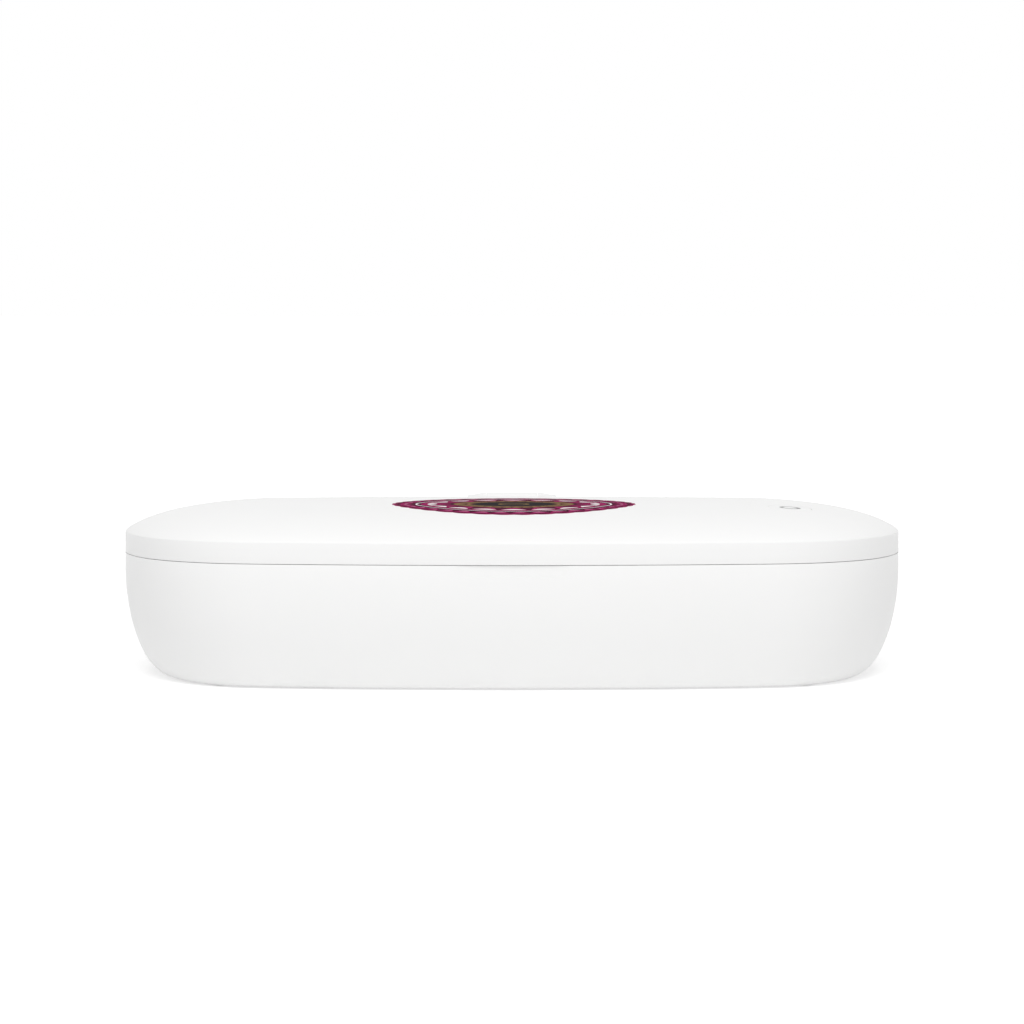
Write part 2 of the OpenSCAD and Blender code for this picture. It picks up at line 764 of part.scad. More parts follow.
lamp_plug_x = -12;
sensor_plug_x = 22;
hinge_plug_y = main_front_y + 10;
plug_edge = 1;
front_plug_y = main_front_y + plug_edge + plug_size.y / 2;
side_plug_x = -main_half + plug_edge + plug_size.y / 2;
lamp_board_under_z = base_lamp_board_z - board_thickness;
lamp_plug_y = lamp_board_width / 2 - plug_edge - plug_size.y / 2;

// Heights at which the leads enter their plugs
main_plug_z = main_under_z - plug_size.z / 2;
lamp_plug_z = lamp_board_under_z - plug_size.z / 2;
lead_meet_x = ear_x - arm_gap / 2;

module board_plugs() color(white) {
    plug(lamp_plug_x, front_plug_y, main_under_z - plug_size.z);
    plug(sensor_plug_x, front_plug_y, main_under_z - plug_size.z);
    plug(side_plug_x, hinge_plug_y, main_under_z - plug_size.z, false);
    plug(lamp_plug_x, lamp_plug_y, lamp_board_under_z - plug_size.z);
}

module usb_socket() color(steel) difference() {
    inlet_slot(inlet_mouth_y - inlet_depth, inlet_mouth_y, 0);
    inlet_slot(inlet_mouth_y - inlet_depth + 1, inlet_mouth_y + 1, -inlet_wall);
}

module usb_tongue() color(dark)
    block([-3.3, inlet_mouth_y - inlet_depth + 1, inlet_z - 0.35],
          [3.3, inlet_mouth_y - 0.8, inlet_z + 0.35]);

module lid_sensor() color(dark)
    block([sensor_x - sensor_width / 2, sensor_y - sensor_thickness / 2, ledge_z - sensor_height],
          [sensor_x + sensor_width / 2, sensor_y + sensor_thickness / 2, ledge_z]);

module base_magnets() color(steel) pair(magnet_x)
    post(0, magnet_y, ledge_z - magnet_thickness, ledge_z, magnet_radius);

module lid_bumpers() color(ring_grey) pair(bumper_x)
    post(0, bumper_y, flange_z, liner_z, bumper_diameter / 2);

module case_screws() color(steel) four(foot_x, foot_y)
    screw(case_seat_z, case_screw_length, case_screw_radius, case_head_radius, case_head_height);

module rubber_feet() color(dark) four(foot_x, foot_y) {
    post(0, 0, 0, underside_z + foot_recess, foot_radius);
    post(0, 0, underside_z, case_seat_z - case_head_height - 0.3, case_head_radius);
}

// ---- Lid ----

lid_path = concat(
    [for (i = [dome_steps - 3:-1:0])
        let (d = lid_wall + (dome_reach - lid_wall) * pow(i / (dome_steps - 3), 1.6))
        [d, dome_z(d) - lid_wall]],
    [[lid_wall, lid_ledge_z], [rim_wall, lid_ledge_z], [rim_wall, seam_z], [edge_break, seam_z],
     [0, seam_z + edge_break], [0, band_top_z - edge_break]],
    [for (i = [1:dome_steps])
        let (d = 0.25 + (dome_reach - 0.25) * pow((i - 1) / (dome_steps - 1), 1.7)) [d, dome_z(d)]]);

// The lid's outer form, filled: what trims the top of the button
module lid_form() {
    ringed(concat([[0, seam_z], [0, band_top_z - edge_break]],
        [for (i = [1:dome_steps])
            let (d = 0.25 + (dome_reach - 0.25) * pow((i - 1) / (dome_steps - 1), 1.7))
            [d, dome_z(d)]]));
}

// A knuckle with a round, drawn-in end, from x = 0 outwards
module knuckle() {
    rotate([0, 90, 0]) rotate_extrude($fn = round_sides) polygon([
        [0, 0], [knuckle_radius, 0], [knuckle_radius, 0.8],
        [ear_end_radius, ear_length - 1.2], [ear_end_radius * 0.82, ear_length - 0.4],
        [ear_end_radius * 0.5, ear_length], [0, ear_length]]);
}

// Side view of the web that joins a knuckle to the lid
module web_drawing() {
    polygon([
        [hinge_y - 0.4, hinge_z + knuckle_radius - 0.5],
        [half_depth - 11.5, dome_z(11.5) - 0.1],
        [half_depth - 11.5, dome_z(11.5) - 1.5],
        [half_depth - 9, dome_z(7) - lid_wall - 1.6],
        [half_depth - 3, dome_z(1) - lid_wall],
        [half_depth - 1, band_top_z - 4],
        [half_depth - 0.3, band_top_z - 3.4],
        [hinge_y + knuckle_radius * 0.72, hinge_z - knuckle_radius * 0.66]]);
}

module lid_ears() {
    for (side = [-1, 1]) {
        translate([side * ear_x, hinge_y, hinge_z]) mirror([side < 0 ? 1 : 0, 0, 0]) knuckle();
        from = side > 0 ? ear_x : -ear_x - ear_length + 1.2;
        across(from, from + ear_length - 1.2) web_drawing();
    }
}

module lid_shell() color(white) difference() {
    union() {
        ringed(lid_path);
        lid_ears();
        four(foot_x, foot_y) post(0, 0, panel_top_z, dome_z(foot_side_inset) - lid_wall / 2, lid_post_radius);
        post(button_x, button_y, guide_z, button_top_z - 1.6, guide_radius);
        for (sx = [-1, 1])
            post(button_x + sx * button_screw_x, button_y, switch_z, guide_z + 1, small_post_radius);
    }
    // notch for the tub's arm
    block([-ear_x, hinge_y - knuckle_radius - arm_gap, seam_z - 1],
          [ear_x, half_depth + 8, hinge_z + knuckle_radius + 1]);
    // seats of the solid pin, on the left, and of the hollow one
    bar_x(-ear_end_x - 1, -ear_x + 1, hinge_y, hinge_z, pin_seat);
    bar_x(ear_x - 1, sleeve_end_x, hinge_y, hinge_z, pin_seat);
    bar_x(ear_x, channel_x, hinge_y, hinge_z, channel_radius);
    translate([channel_x, hinge_y, hinge_z]) {
        sphere(r = channel_radius, $fn = round_sides);
        rotate([90 + channel_fall, 0, 0]) cylinder(h = 12, r = channel_radius, $fn = round_sides);
    }
    post(button_x, button_y, guide_z - 1, button_top_z + 2, cap_radius + button_gap);
    for (sx = [-1, 1]) post(button_x + sx * button_screw_x, button_y, switch_z - 1, guide_z,
                            small_screw_radius + screw_gap);
    four(foot_x, foot_y)
        post(0, 0, panel_top_z - 1, panel_top_z + liner_screw_bite + bite, small_screw_radius + screw_gap);
}

// The liner's walls lean in by this much, top to bottom
liner_draft = 1.1;
liner_foot_inset = mouth_inset + liner_draft;
liner_screw_head = 0.9;
// Thread of the liner's screws in the lid's posts
liner_screw_bite = 2.4;
lid_post_radius = 3.2;

liner_path = [
    [liner_foot_inset + 1.6, panel_z],
    [liner_foot_inset + 0.5, panel_z - 0.4],
    [liner_foot_inset, panel_z - 1],
    [mouth_inset, liner_z + 0.4],
    [mouth_inset - 0.4, liner_z],
    [flange_inset, liner_z],
    [flange_inset, lid_ledge_z],
    [mouth_inset - liner_wall, lid_ledge_z],
    [liner_foot_inset - liner_wall, panel_top_z - 0.6],
    [liner_foot_inset - liner_wall + 0.8, panel_top_z]];

module lid_liner() color(silver) difference() {
    union() {
        ringed(liner_path);
        at_lamps() post(0, 0, panel_z + bite, lid_lamp_z - frame_gap, window_diameter / 2 + window_frame);
        pair(lamp_screw_x) post(0, 0, panel_z + bite, lid_lamp_board_z, small_post_radius);
    }
    at_lamps() {
        post(0, 0, panel_z - 1, panel_z + window_thickness, window_diameter / 2 + window_gap);
        post(0, 0, panel_z, lid_lamp_z + 1, window_diameter / 2 - 1);
    }
    pair(lamp_screw_x)
        post(0, 0, panel_z + pilot_cover, lid_lamp_board_z + 1, small_screw_radius + screw_gap);
    // countersunk holes of the liner's screws
    four(foot_x, foot_y) {
        post(0, 0, panel_z - 1, panel_top_z + 1, small_screw_radius + trim_gap);
        translate([0, 0, panel_z - 0.01])
            cylinder(h = 1.01, r1 = small_head_radius + 0.15, r2 = small_screw_radius + 0.15,
                     $fn = round_sides);
    }
    block([-ear_x, hinge_y - knuckle_radius - arm_gap, liner_z - 1],
          [ear_x, half_depth + 1, panel_top_z + 1]);
}

module lid_windows() color(clear) at_lamps()
    post(0, 0, panel_z, panel_z + window_thickness, window_diameter / 2);

module lid_lamp_board() color(board_green) lamp_board(lid_lamp_board_z, lid_lamp_board_z + board_thickness);

module lid_lamps() color(steel) lamps(lid_lamp_z);

module lid_lamp_screws() color(steel) pair(lamp_screw_x)
    screw(lid_lamp_board_z + board_thickness, board_screw_length, small_screw_radius,
          small_head_radius, small_head_height, up = false);

lid_board_top_z = lid_lamp_board_z + board_thickness;
lid_plug_x = channel_x + 0.1;
lid_plug_y = lamp_board_width / 2 - plug_edge - plug_size.y / 2;
low_plug = [3.5, 5, 1.6];
low_plug_x = button_x - button_board_left + 1 + low_plug.x / 2;

button_plug_x = low_plug_x;
lid_plug_z = lid_board_top_z + plug_size.z / 2;
low_plug_z = switch_z + low_plug.z / 2;

module lid_plugs() color(white) {
    plug(lid_plug_x, lid_plug_y, lid_board_top_z);
    plug(button_plug_x, -lid_plug_y, lid_board_top_z);
    translate([low_plug_x - low_plug.x / 2, button_y - low_plug.y / 2, switch_z]) cube(low_plug);
}

module button_board() color(board_green) difference() {
    block([button_x - button_board_left, button_y - button_board_half_width, button_board_z],
          [button_x + button_board_right, button_y + button_board_half_width, switch_z]);
    for (sx = [-1, 1]) post(button_x + sx * button_screw_x, button_y, button_board_z - 1, switch_z + 1,
                            small_screw_radius + trim_gap);
}

module tact_switch() color(dark) difference() {
    block([button_x - switch_size / 2, button_y - switch_size / 2, switch_z],
          [button_x + switch_size / 2, button_y + switch_size / 2, switch_top_z]);
    post(button_x, button_y, switch_z - 1, switch_top_z + 1, plunger_radius + plunger_bore_gap);
}

module status_light() color(clear)
    block([button_x + 3.8, button_y - 0.4, switch_z], [button_x + 5.4, button_y + 0.4, switch_z + 0.6]);

module button_screws() color(steel) for (sx = [-1, 1])
    translate([button_x + sx * button_screw_x, button_y, 0])
        screw(button_board_z, 2.8, small_screw_radius, 1.6, 0.2);

module liner_screws() color(steel) four(foot_x, foot_y) difference() {
    union() {
        translate([0, 0, panel_z])
            cylinder(h = liner_screw_head, r1 = small_head_radius, r2 = small_screw_radius,
                     $fn = round_sides);
        post(0, 0, panel_z + 0.3, panel_top_z + liner_screw_bite, small_screw_radius);
    }
    for (a = [0, 90]) rotate(a) translate([-1.1, -0.25, panel_z - bite]) cube([2.2, 0.5, 0.6]);
}

module lid_magnets() color(steel) pair(magnet_x)
    post(0, magnet_y, lid_ledge_z, lid_ledge_z + magnet_thickness, magnet_radius);

module sensor_magnet() color(steel)
    post(sensor_x, sensor_y, lid_ledge_z, lid_ledge_z + magnet_thickness, magnet_radius);

module hinge_pin() color(steel) bar_x(-pin_start_x - pin_length, -pin_start_x, hinge_y, hinge_z, pin_radius);

module hinge_sleeve() color(steel) difference() {
    bar_x(pin_start_x + sleeve_gap, sleeve_end_x, hinge_y, hinge_z, pin_radius);
    bar_x(0, sleeve_end_x + 1, hinge_y, hinge_z, pin_hole_radius);
}

// ---- Button ----

module power_button() color(white) difference() {
    union() {
        intersection() {
            post(button_x, button_y, cap_under_z, button_top_z + 2, cap_radius);
            lid_form();
        }
        post(button_x, button_y, cap_under_z, guide_z, button_flange_radius);
    }
    difference() {
        post(button_x, button_y, cap_under_z - 1, button_top_z - cap_wall, cap_radius - 1.2);
        post(button_x, button_y, cap_under_z - 2, button_top_z, 1.5);
    }
    ring_groove(0.02);
}

// The groove that the ring lies in
module ring_groove(gap) {
    low = button_top_z - 1.2;
    difference() {
        post(button_x, button_y, low - gap, button_top_z + 2, ring_diameter / 2 + gap);
        post(button_x, button_y, low - 1, button_top_z + 3, ring_diameter / 2 - ring_width - gap);
    }
}

module button_ring() color(ring_grey) intersection() {
    ring_groove(0);
    lid_form();
}

module switch_plunger() color(dark)
    post(button_x, button_y, plunger_foot_z, cap_under_z, plunger_radius);

// ---- Routes of the leads: straight out of each plug, then clear of the walls ----

module lamp_lead() color(dark) lead([
    [lamp_plug_x, front_plug_y - 2, main_plug_z], [lamp_plug_x, front_plug_y - 4.5, main_plug_z],
    [lamp_plug_x, (front_plug_y + lamp_plug_y) / 2, lamp_plug_z - 0.2],
    [lamp_plug_x, lamp_plug_y + 4.5, lamp_plug_z], [lamp_plug_x, lamp_plug_y + 2, lamp_plug_z]]);

module sensor_lead() color(dark) {
    foot_z = ledge_z - sensor_height;
    lead([
        [sensor_x, sensor_y, foot_z], [sensor_x, sensor_y, foot_z - 2.3],
        [sensor_x, sensor_y + 0.4, foot_z - 7.8], [sensor_x, sensor_y + 1.8, foot_z - 14.8],
        [sensor_x - 0.6, sensor_y + 4.8, floor_z + 7], [sensor_x - 2, sensor_y + 11.4, floor_z + 3.6],
        [sensor_x - 5, sensor_y + 23.4, floor_z + 2.2],
        [sensor_plug_x + 5, front_plug_y - 37, floor_z + 1.8],
        [sensor_plug_x + 2, front_plug_y - 21, floor_z + 1.8],
        [sensor_plug_x + 0.3, front_plug_y - 11, main_plug_z - 1.8],
        [sensor_plug_x, front_plug_y - 4.5, main_plug_z], [sensor_plug_x, front_plug_y - 2, main_plug_z]]);
}

module hinge_lead() color(dark) lead([
    [lead_meet_x, hinge_y, hinge_z], [4, hinge_y, hinge_z], [1.4, hinge_y, hinge_z - 0.3],
    [0.1, hinge_y, hinge_z - 2], [0, hinge_y, hinge_z - 7.2], [0, hinge_y - 0.1, channel_z + 1.5],
    [0, hinge_y - 1, channel_z + 0.2], [-0.1, hinge_y - 2.6, channel_z - 0.3],
    [-1.2, hinge_y - 4, channel_z - 1.3], [-10, hinge_y - 4.4, channel_z - 5.5],
    [-24, hinge_y - 5.2, channel_z - 12.5], [side_plug_x - 5, hinge_y - 7, main_plug_z + 4.6],
    [side_plug_x - 9.5, hinge_y - 10.7, main_plug_z + 1],
    [side_plug_x - 10.6, hinge_plug_y + 12, main_plug_z - 0.6],
    [side_plug_x - 10.6, hinge_plug_y + 6, main_plug_z - 0.6],
    [side_plug_x - 9.2, hinge_plug_y + 1.2, main_plug_z - 0.2],
    [side_plug_x - 4.5, hinge_plug_y, main_plug_z], [side_plug_x - 2, hinge_plug_y, main_plug_z]]);

module lid_lead() color(dark) lead([
    [lead_meet_x, hinge_y, hinge_z], [channel_x - 2.4, hinge_y, hinge_z],
    [channel_x - 0.8, hinge_y - 0.2, hinge_z - 0.1], [channel_x - 0.05, hinge_y - 1.1, hinge_z - 0.4],
    [channel_x, hinge_y - 3.6, hinge_z - 1.05], [channel_x, hinge_y - 7.7, hinge_z - 2.5],
    [lid_plug_x, hinge_y - 14.2, hinge_z - 2.3], [lid_plug_x, hinge_y - 26.2, hinge_z - 1.6],
    [lid_plug_x, lid_plug_y + 14, lid_plug_z - 0.2], [lid_plug_x, lid_plug_y + 4.5, lid_plug_z],
    [lid_plug_x, lid_plug_y + 2, lid_plug_z]]);

module button_lead() color(dark) lead([
    [button_plug_x, -lid_plug_y - 2, lid_plug_z], [button_plug_x, -lid_plug_y - 4.5, lid_plug_z],
    [low_plug_x, (button_y - lid_plug_y) / 2, (lid_plug_z + low_plug_z) / 2 + 0.2],
    [low_plug_x, button_y + 6.4, low_plug_z + 0.5], [low_plug_x, button_y + 4.6, low_plug_z + 0.1],
    [low_plug_x, button_y + 3.6, low_plug_z], [low_plug_x, button_y + 2.5, low_plug_z]]);

base_shell();
inner_tray();
tray_windows();
rack_rods();
base_lamp_board();
base_lamps();
base_lamp_screws();
main_board();
board_chips();
boost_coil();
board_capacitor();
board_screws();
board_plugs();
usb_socket();
usb_tongue();
lid_sensor();
base_magnets();
lid_bumpers();
case_screws();
rubber_feet();
lamp_lead();
sensor_lead();
hinge_lead();
lid_shell();
lid_liner();
lid_windows();
lid_lamp_board();
lid_lamps();
lid_lamp_screws();
lid_plugs();
button_board();
tact_switch();
status_light();
button_screws();
liner_screws();
lid_magnets();
sensor_magnet();
hinge_pin();
hinge_sleeve();
lid_lead();
button_lead();
power_button();
button_ring();
switch_plunger();
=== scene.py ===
"""Ultraviolet sanitiser box for phones: its looks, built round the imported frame.

Forms are worked out in millimetres and scaled to metres when a piece is finished.
"""

import logging
import math
from collections.abc import Callable, Iterable, Sequence
from dataclasses import dataclass
from enum import Enum

import bmesh
import bpy
from mathutils import Matrix, Vector


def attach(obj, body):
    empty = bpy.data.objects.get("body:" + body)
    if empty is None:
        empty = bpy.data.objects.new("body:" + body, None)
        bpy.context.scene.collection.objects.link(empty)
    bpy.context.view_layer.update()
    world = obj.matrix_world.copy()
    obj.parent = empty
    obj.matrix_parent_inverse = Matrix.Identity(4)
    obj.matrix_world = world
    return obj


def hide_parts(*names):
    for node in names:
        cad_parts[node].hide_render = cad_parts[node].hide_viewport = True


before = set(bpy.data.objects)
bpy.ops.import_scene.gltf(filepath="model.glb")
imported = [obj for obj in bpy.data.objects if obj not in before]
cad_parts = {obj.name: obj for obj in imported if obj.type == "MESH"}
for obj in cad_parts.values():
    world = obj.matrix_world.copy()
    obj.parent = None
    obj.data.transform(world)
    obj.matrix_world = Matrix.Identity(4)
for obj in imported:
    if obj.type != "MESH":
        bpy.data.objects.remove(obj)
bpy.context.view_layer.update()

LOG = logging.getLogger("sanitiser_box")
METRES = 0.001

Pair = tuple[float, float]
Triple = tuple[float, float, float]


class Body(Enum):
    """Rigid bodies of the frame."""

    BASE = "base"
    LID = "lid"
    BUTTON = "button"


class Join(Enum):
    """How one solid changes another."""

    ADD = "UNION"
    CUT = "DIFFERENCE"


class Axis(Enum):
    """Direction that a round form is turned about."""

    X = (1.0, 0.0, 0.0)
    Y = (0.0, 1.0, 0.0)
    Z = (0.0, 0.0, 1.0)

    def turn(self) -> Matrix:
        """Rotation that carries +Z to this axis."""
        return Vector(Axis.Z.value).rotation_difference(Vector(self.value)).to_matrix().to_4x4()


def mirrored_places(x: float, y: float) -> list[Pair]:
    """Four places that mirror each other."""
    return [(sx * x, sy * y) for sx in (-1, 1) for sy in (-1, 1)]


# -- Sizes --------------------------------------------------------------------


@dataclass(frozen=True)
class Outline:
    """Plan of the case: eight arcs that meet on a tangent.

    Each point is named by its heading, the direction in which the outline faces there.
    """

    half_length: float = 109.0
    half_depth: float = 59.5
    long_radius: float = 490.0
    end_radius: float = 70.0
    corner_radius: float = 42.0

    @property
    def long_centre(self) -> Vector:
        """Centre of the rear long side's bow."""
        return Vector((0.0, self.half_depth - self.long_radius))

    @property
    def end_centre(self) -> Vector:
        """Centre of the right end's bow."""
        return Vector((self.half_length - self.end_radius, 0.0))

    @property
    def corner_centre(self) -> Vector:
        """Centre of the rear right corner."""
        start, end = self.long_centre, self.end_centre
        near, far = self.long_radius - self.corner_radius, self.end_radius - self.corner_radius
        gap = (end - start).length
        along = (end - start) / gap
        reach = (near**2 - far**2 + gap**2) / (2 * gap)
        side = math.sqrt(near**2 - reach**2)
        return start + reach * along + side * Vector((along.y, -along.x))

    @property
    def end_turn(self) -> float:
        """Heading at which the right end meets the corner."""
        offset = self.corner_centre - self.end_centre
        return math.atan2(offset.y, offset.x)

    @property
    def long_turn(self) -> float:
        """Angle from the rear at which the long side meets the corner."""
        offset = self.corner_centre - self.long_centre
        return math.atan2(offset.x, offset.y)

    def place(self, heading: float, inset: float) -> Vector:
        """Point of the outline at a heading, drawn in by an inset.

        Args:
            heading: Direction that the outline faces, in radians from +X.
            inset: Distance inwards, in millimetres.

        Returns:
            The point in plan.
        """
        facing = Vector((math.cos(heading), math.sin(heading)))
        folded = math.atan2(abs(facing.y), abs(facing.x))
        if folded < self.end_turn:
            centre, radius = self.end_centre, self.end_radius
        elif folded > math.pi / 2 - self.long_turn:
            centre, radius = self.long_centre, self.long_radius
        else:
            centre, radius = self.corner_centre, self.corner_radius
        signed = Vector((math.copysign(1, facing.x) * centre.x, math.copysign(1, facing.y) * centre.y))
        return signed + (radius - inset) * facing

    def inset_at(self, x: float, y: float) -> float:
        """Distance inwards from the outline to a point in plan."""
        point = Vector((abs(x), abs(y)))
        on_long, on_end = point - self.long_centre, point - self.end_centre
        found = []
        if math.atan2(on_long.x, on_long.y) <= self.long_turn:
            found.append(self.long_radius - on_long.length)
        if on_end.x > 0 and math.atan2(on_end.y, on_end.x) <= self.end_turn:
            found.append(self.end_radius - on_end.length)
        return min(found, default=self.corner_radius - (point - self.corner_centre).length)

    def side_y(self, x: float, inset: float) -> float:
        """Distance of the long side, or its corner, from the middle line at x."""
        across = abs(x)
        radius = self.long_radius - inset
        if across <= radius * math.sin(self.long_turn):
            return self.long_centre.y + math.sqrt(radius**2 - across**2)
        radius = self.corner_radius - inset
        return self.corner_centre.y + math.sqrt(radius**2 - (across - self.corner_centre.x) ** 2)


@dataclass(frozen=True)
class Case:
    """Sizes that several sub-assemblies share."""

    outline: Outline = Outline()
    underside_z: float = 0.2
    underside_stretch: float = 0.06
    floor_z: float = 3.0
    side_top_z: float = 29.5
    underside_inset: float = 12.0
    side_power: float = 1.95
    floor_inset: float = 8.5
    inner_power: float = 1.7
    rim_z: float = 34.1
    rim_wall: float = 1.4
    base_wall: float = 2.4
    ledge_z: float = 32.8
    flange_z: float = 34.0
    flange_inset: float = 1.7
    seam_z: float = 34.4
    liner_z: float = 34.7
    lid_ledge_z: float = 35.9
    panel_z: float = 38.4
    panel_top_z: float = 39.9
    band_top_z: float = 40.1
    lid_wall: float = 2.2
    dome_rise: float = 7.9
    dome_fullness: float = 3.9
    dome_shoulder: float = 0.8
    dome_eased_from: float = 32.0
    dome_reach: float = 40.0
    tray_floor_z: float = 13.0
    tray_under_z: float = 11.7
    mouth_inset: float = 8.5
    tray_draft: float = 1.5
    foot: Pair = (78.0, 36.0)
    hinge: Pair = (58.2, 43.8)
    hinge_relief: float = 3.6
    hinge_notch_half: float = 7.8
    knuckle_radius: float = 3.3
    channel_radius: float = 1.3
    pilot_radius: float = 1.03
    lug_radius: float = 2.3
    lamp_xs: Triple = (-56.0, 0.0, 56.0)
    lamp_screw_x: float = 28.0
    window_radius: float = 6.0
    window_frame: float = 1.5
    pane_edge: float = 0.12
    button: Pair = (77.0, -20.5)

    @property
    def front_y(self) -> float:
        """Place of the front wall at its middle."""
        return -self.outline.side_y(0, 0)

    @property
    def feet(self) -> list[Pair]:
        """Places of the feet, and of the posts and screws above them."""
        return mirrored_places(*self.foot)

    @property
    def lamps(self) -> list[Pair]:
        """Places of the lamps, in tray and lid."""
        return [(x, 0.0) for x in self.lamp_xs]

    @property
    def lamp_screws(self) -> list[Pair]:
        """Places of the lamp boards' screws."""
        return [(-self.lamp_screw_x, 0.0), (self.lamp_screw_x, 0.0)]

    @property
    def button_top(self) -> float:
        """Height of the lid's surface at the button."""
        return self.dome_at(*self.button)

    def dome_z(self, inset: float) -> float:
        """Height of the lid's outer surface at an inset, eased to a level middle."""
        return self.band_top_z + self.dome_rise * self._dome_share(inset)

    def dome_at(self, x: float, y: float) -> float:
        """Height of the lid's outer surface at a point in plan."""
        return self.dome_z(self.outline.inset_at(x, y))

    def _dome_share(self, inset: float) -> float:
        """Share of the dome's rise at an inset."""
        start = self.dome_eased_from
        if inset <= start:
            return self._plain_share(inset)
        step = 0.01
        slope = (self._plain_share(start) - self._plain_share(start - step)) / step
        reach = self.dome_reach - start
        run = min(inset, self.dome_reach) - start
        return self._plain_share(start) + slope * (run - run**2 / (2 * reach))

    def _plain_share(self, inset: float) -> float:
        """Share of the dome's rise before it is eased."""
        left = 1 - max(inset, 0.0) / self.outline.half_depth
        return (1 - left**self.dome_fullness) ** self.dome_shoulder

    def stretched(self, point: Vector) -> Vector:
        """Point of the tub's side, drawn out front to back towards the underside."""
        fall = max(self.side_top_z - point.z, 0.0) / (self.side_top_z - self.underside_z)
        return Vector((point.x, point.y * (1 + self.underside_stretch * fall**6), point.z))

    def outer_side(self, steps: int) -> list[Pair]:
        """Outer curve of a side, from its upright top to the underside."""
        return self._curve((0.0, self.side_top_z), (self.underside_inset, self.underside_z),
                           self.side_power, steps)

    def inner_side(self, steps: int) -> list[Pair]:
        """Inner curve of a side, from its upright top to the floor."""
        return self._curve((self.base_wall, self.side_top_z),
                           (self.base_wall + self.floor_inset, self.floor_z), self.inner_power, steps)

    @staticmethod
    def _curve(top: Pair, foot: Pair, power: float, steps: int) -> list[Pair]:
        """Quarter of a rounded box between two points of inset and height.

        Args:
            top: Its upright end.
            foot: Its level end.
            power: Exponent; 2 is an ellipse.
            steps: Number of its points, less one.

        Returns:
            Points of inset and height, top first.
        """
        turns = [math.pi / 2 * i / steps for i in range(steps + 1)]
        return [(foot[0] + (top[0] - foot[0]) * max(math.cos(t), 0.0) ** (2 / power),
                 top[1] + (foot[1] - top[1]) * math.sin(t) ** (2 / power)) for t in turns]


CASE = Case()


# -- Solids -------------------------------------------------------------------


def rounded(corners: Sequence[Sequence[float]], steps: int = 4) -> list[Pair]:
    """Turns the corners of a line into arcs.

    Args:
        corners: Points of two coordinates, with a radius where the corner is round.
        steps: Number of steps along each arc.

    Returns:
        The line's points, arcs included.
    """
    points: list[Pair] = []
    for index, corner in enumerate(corners):
        here = Vector(corner[:2])
        radius = corner[2] if len(corner) > 2 else 0.0
        if radius <= 0 or index in (0, len(corners) - 1):
            points.append((here.x, here.y))
            continue
        back = Vector(corners[index - 1][:2]) - here
        ahead = Vector(corners[index + 1][:2]) - here
        half = back.angle(ahead) / 2
        cut = min(radius / math.tan(half), 0.49 * back.length, 0.49 * ahead.length)
        radius = cut * math.tan(half)
        centre = here + (back.normalized() + ahead.normalized()).normalized() * radius / math.sin(half)
        first, last = here + back.normalized() * cut - centre, here + ahead.normalized() * cut - centre
        sweep = first.angle(last)
        for step in range(steps + 1):
            share = step / steps
            spoke = first * math.sin((1 - share) * sweep) + last * math.sin(share * sweep)
            point = centre + spoke / math.sin(sweep)
            points.append((point.x, point.y))
    return points


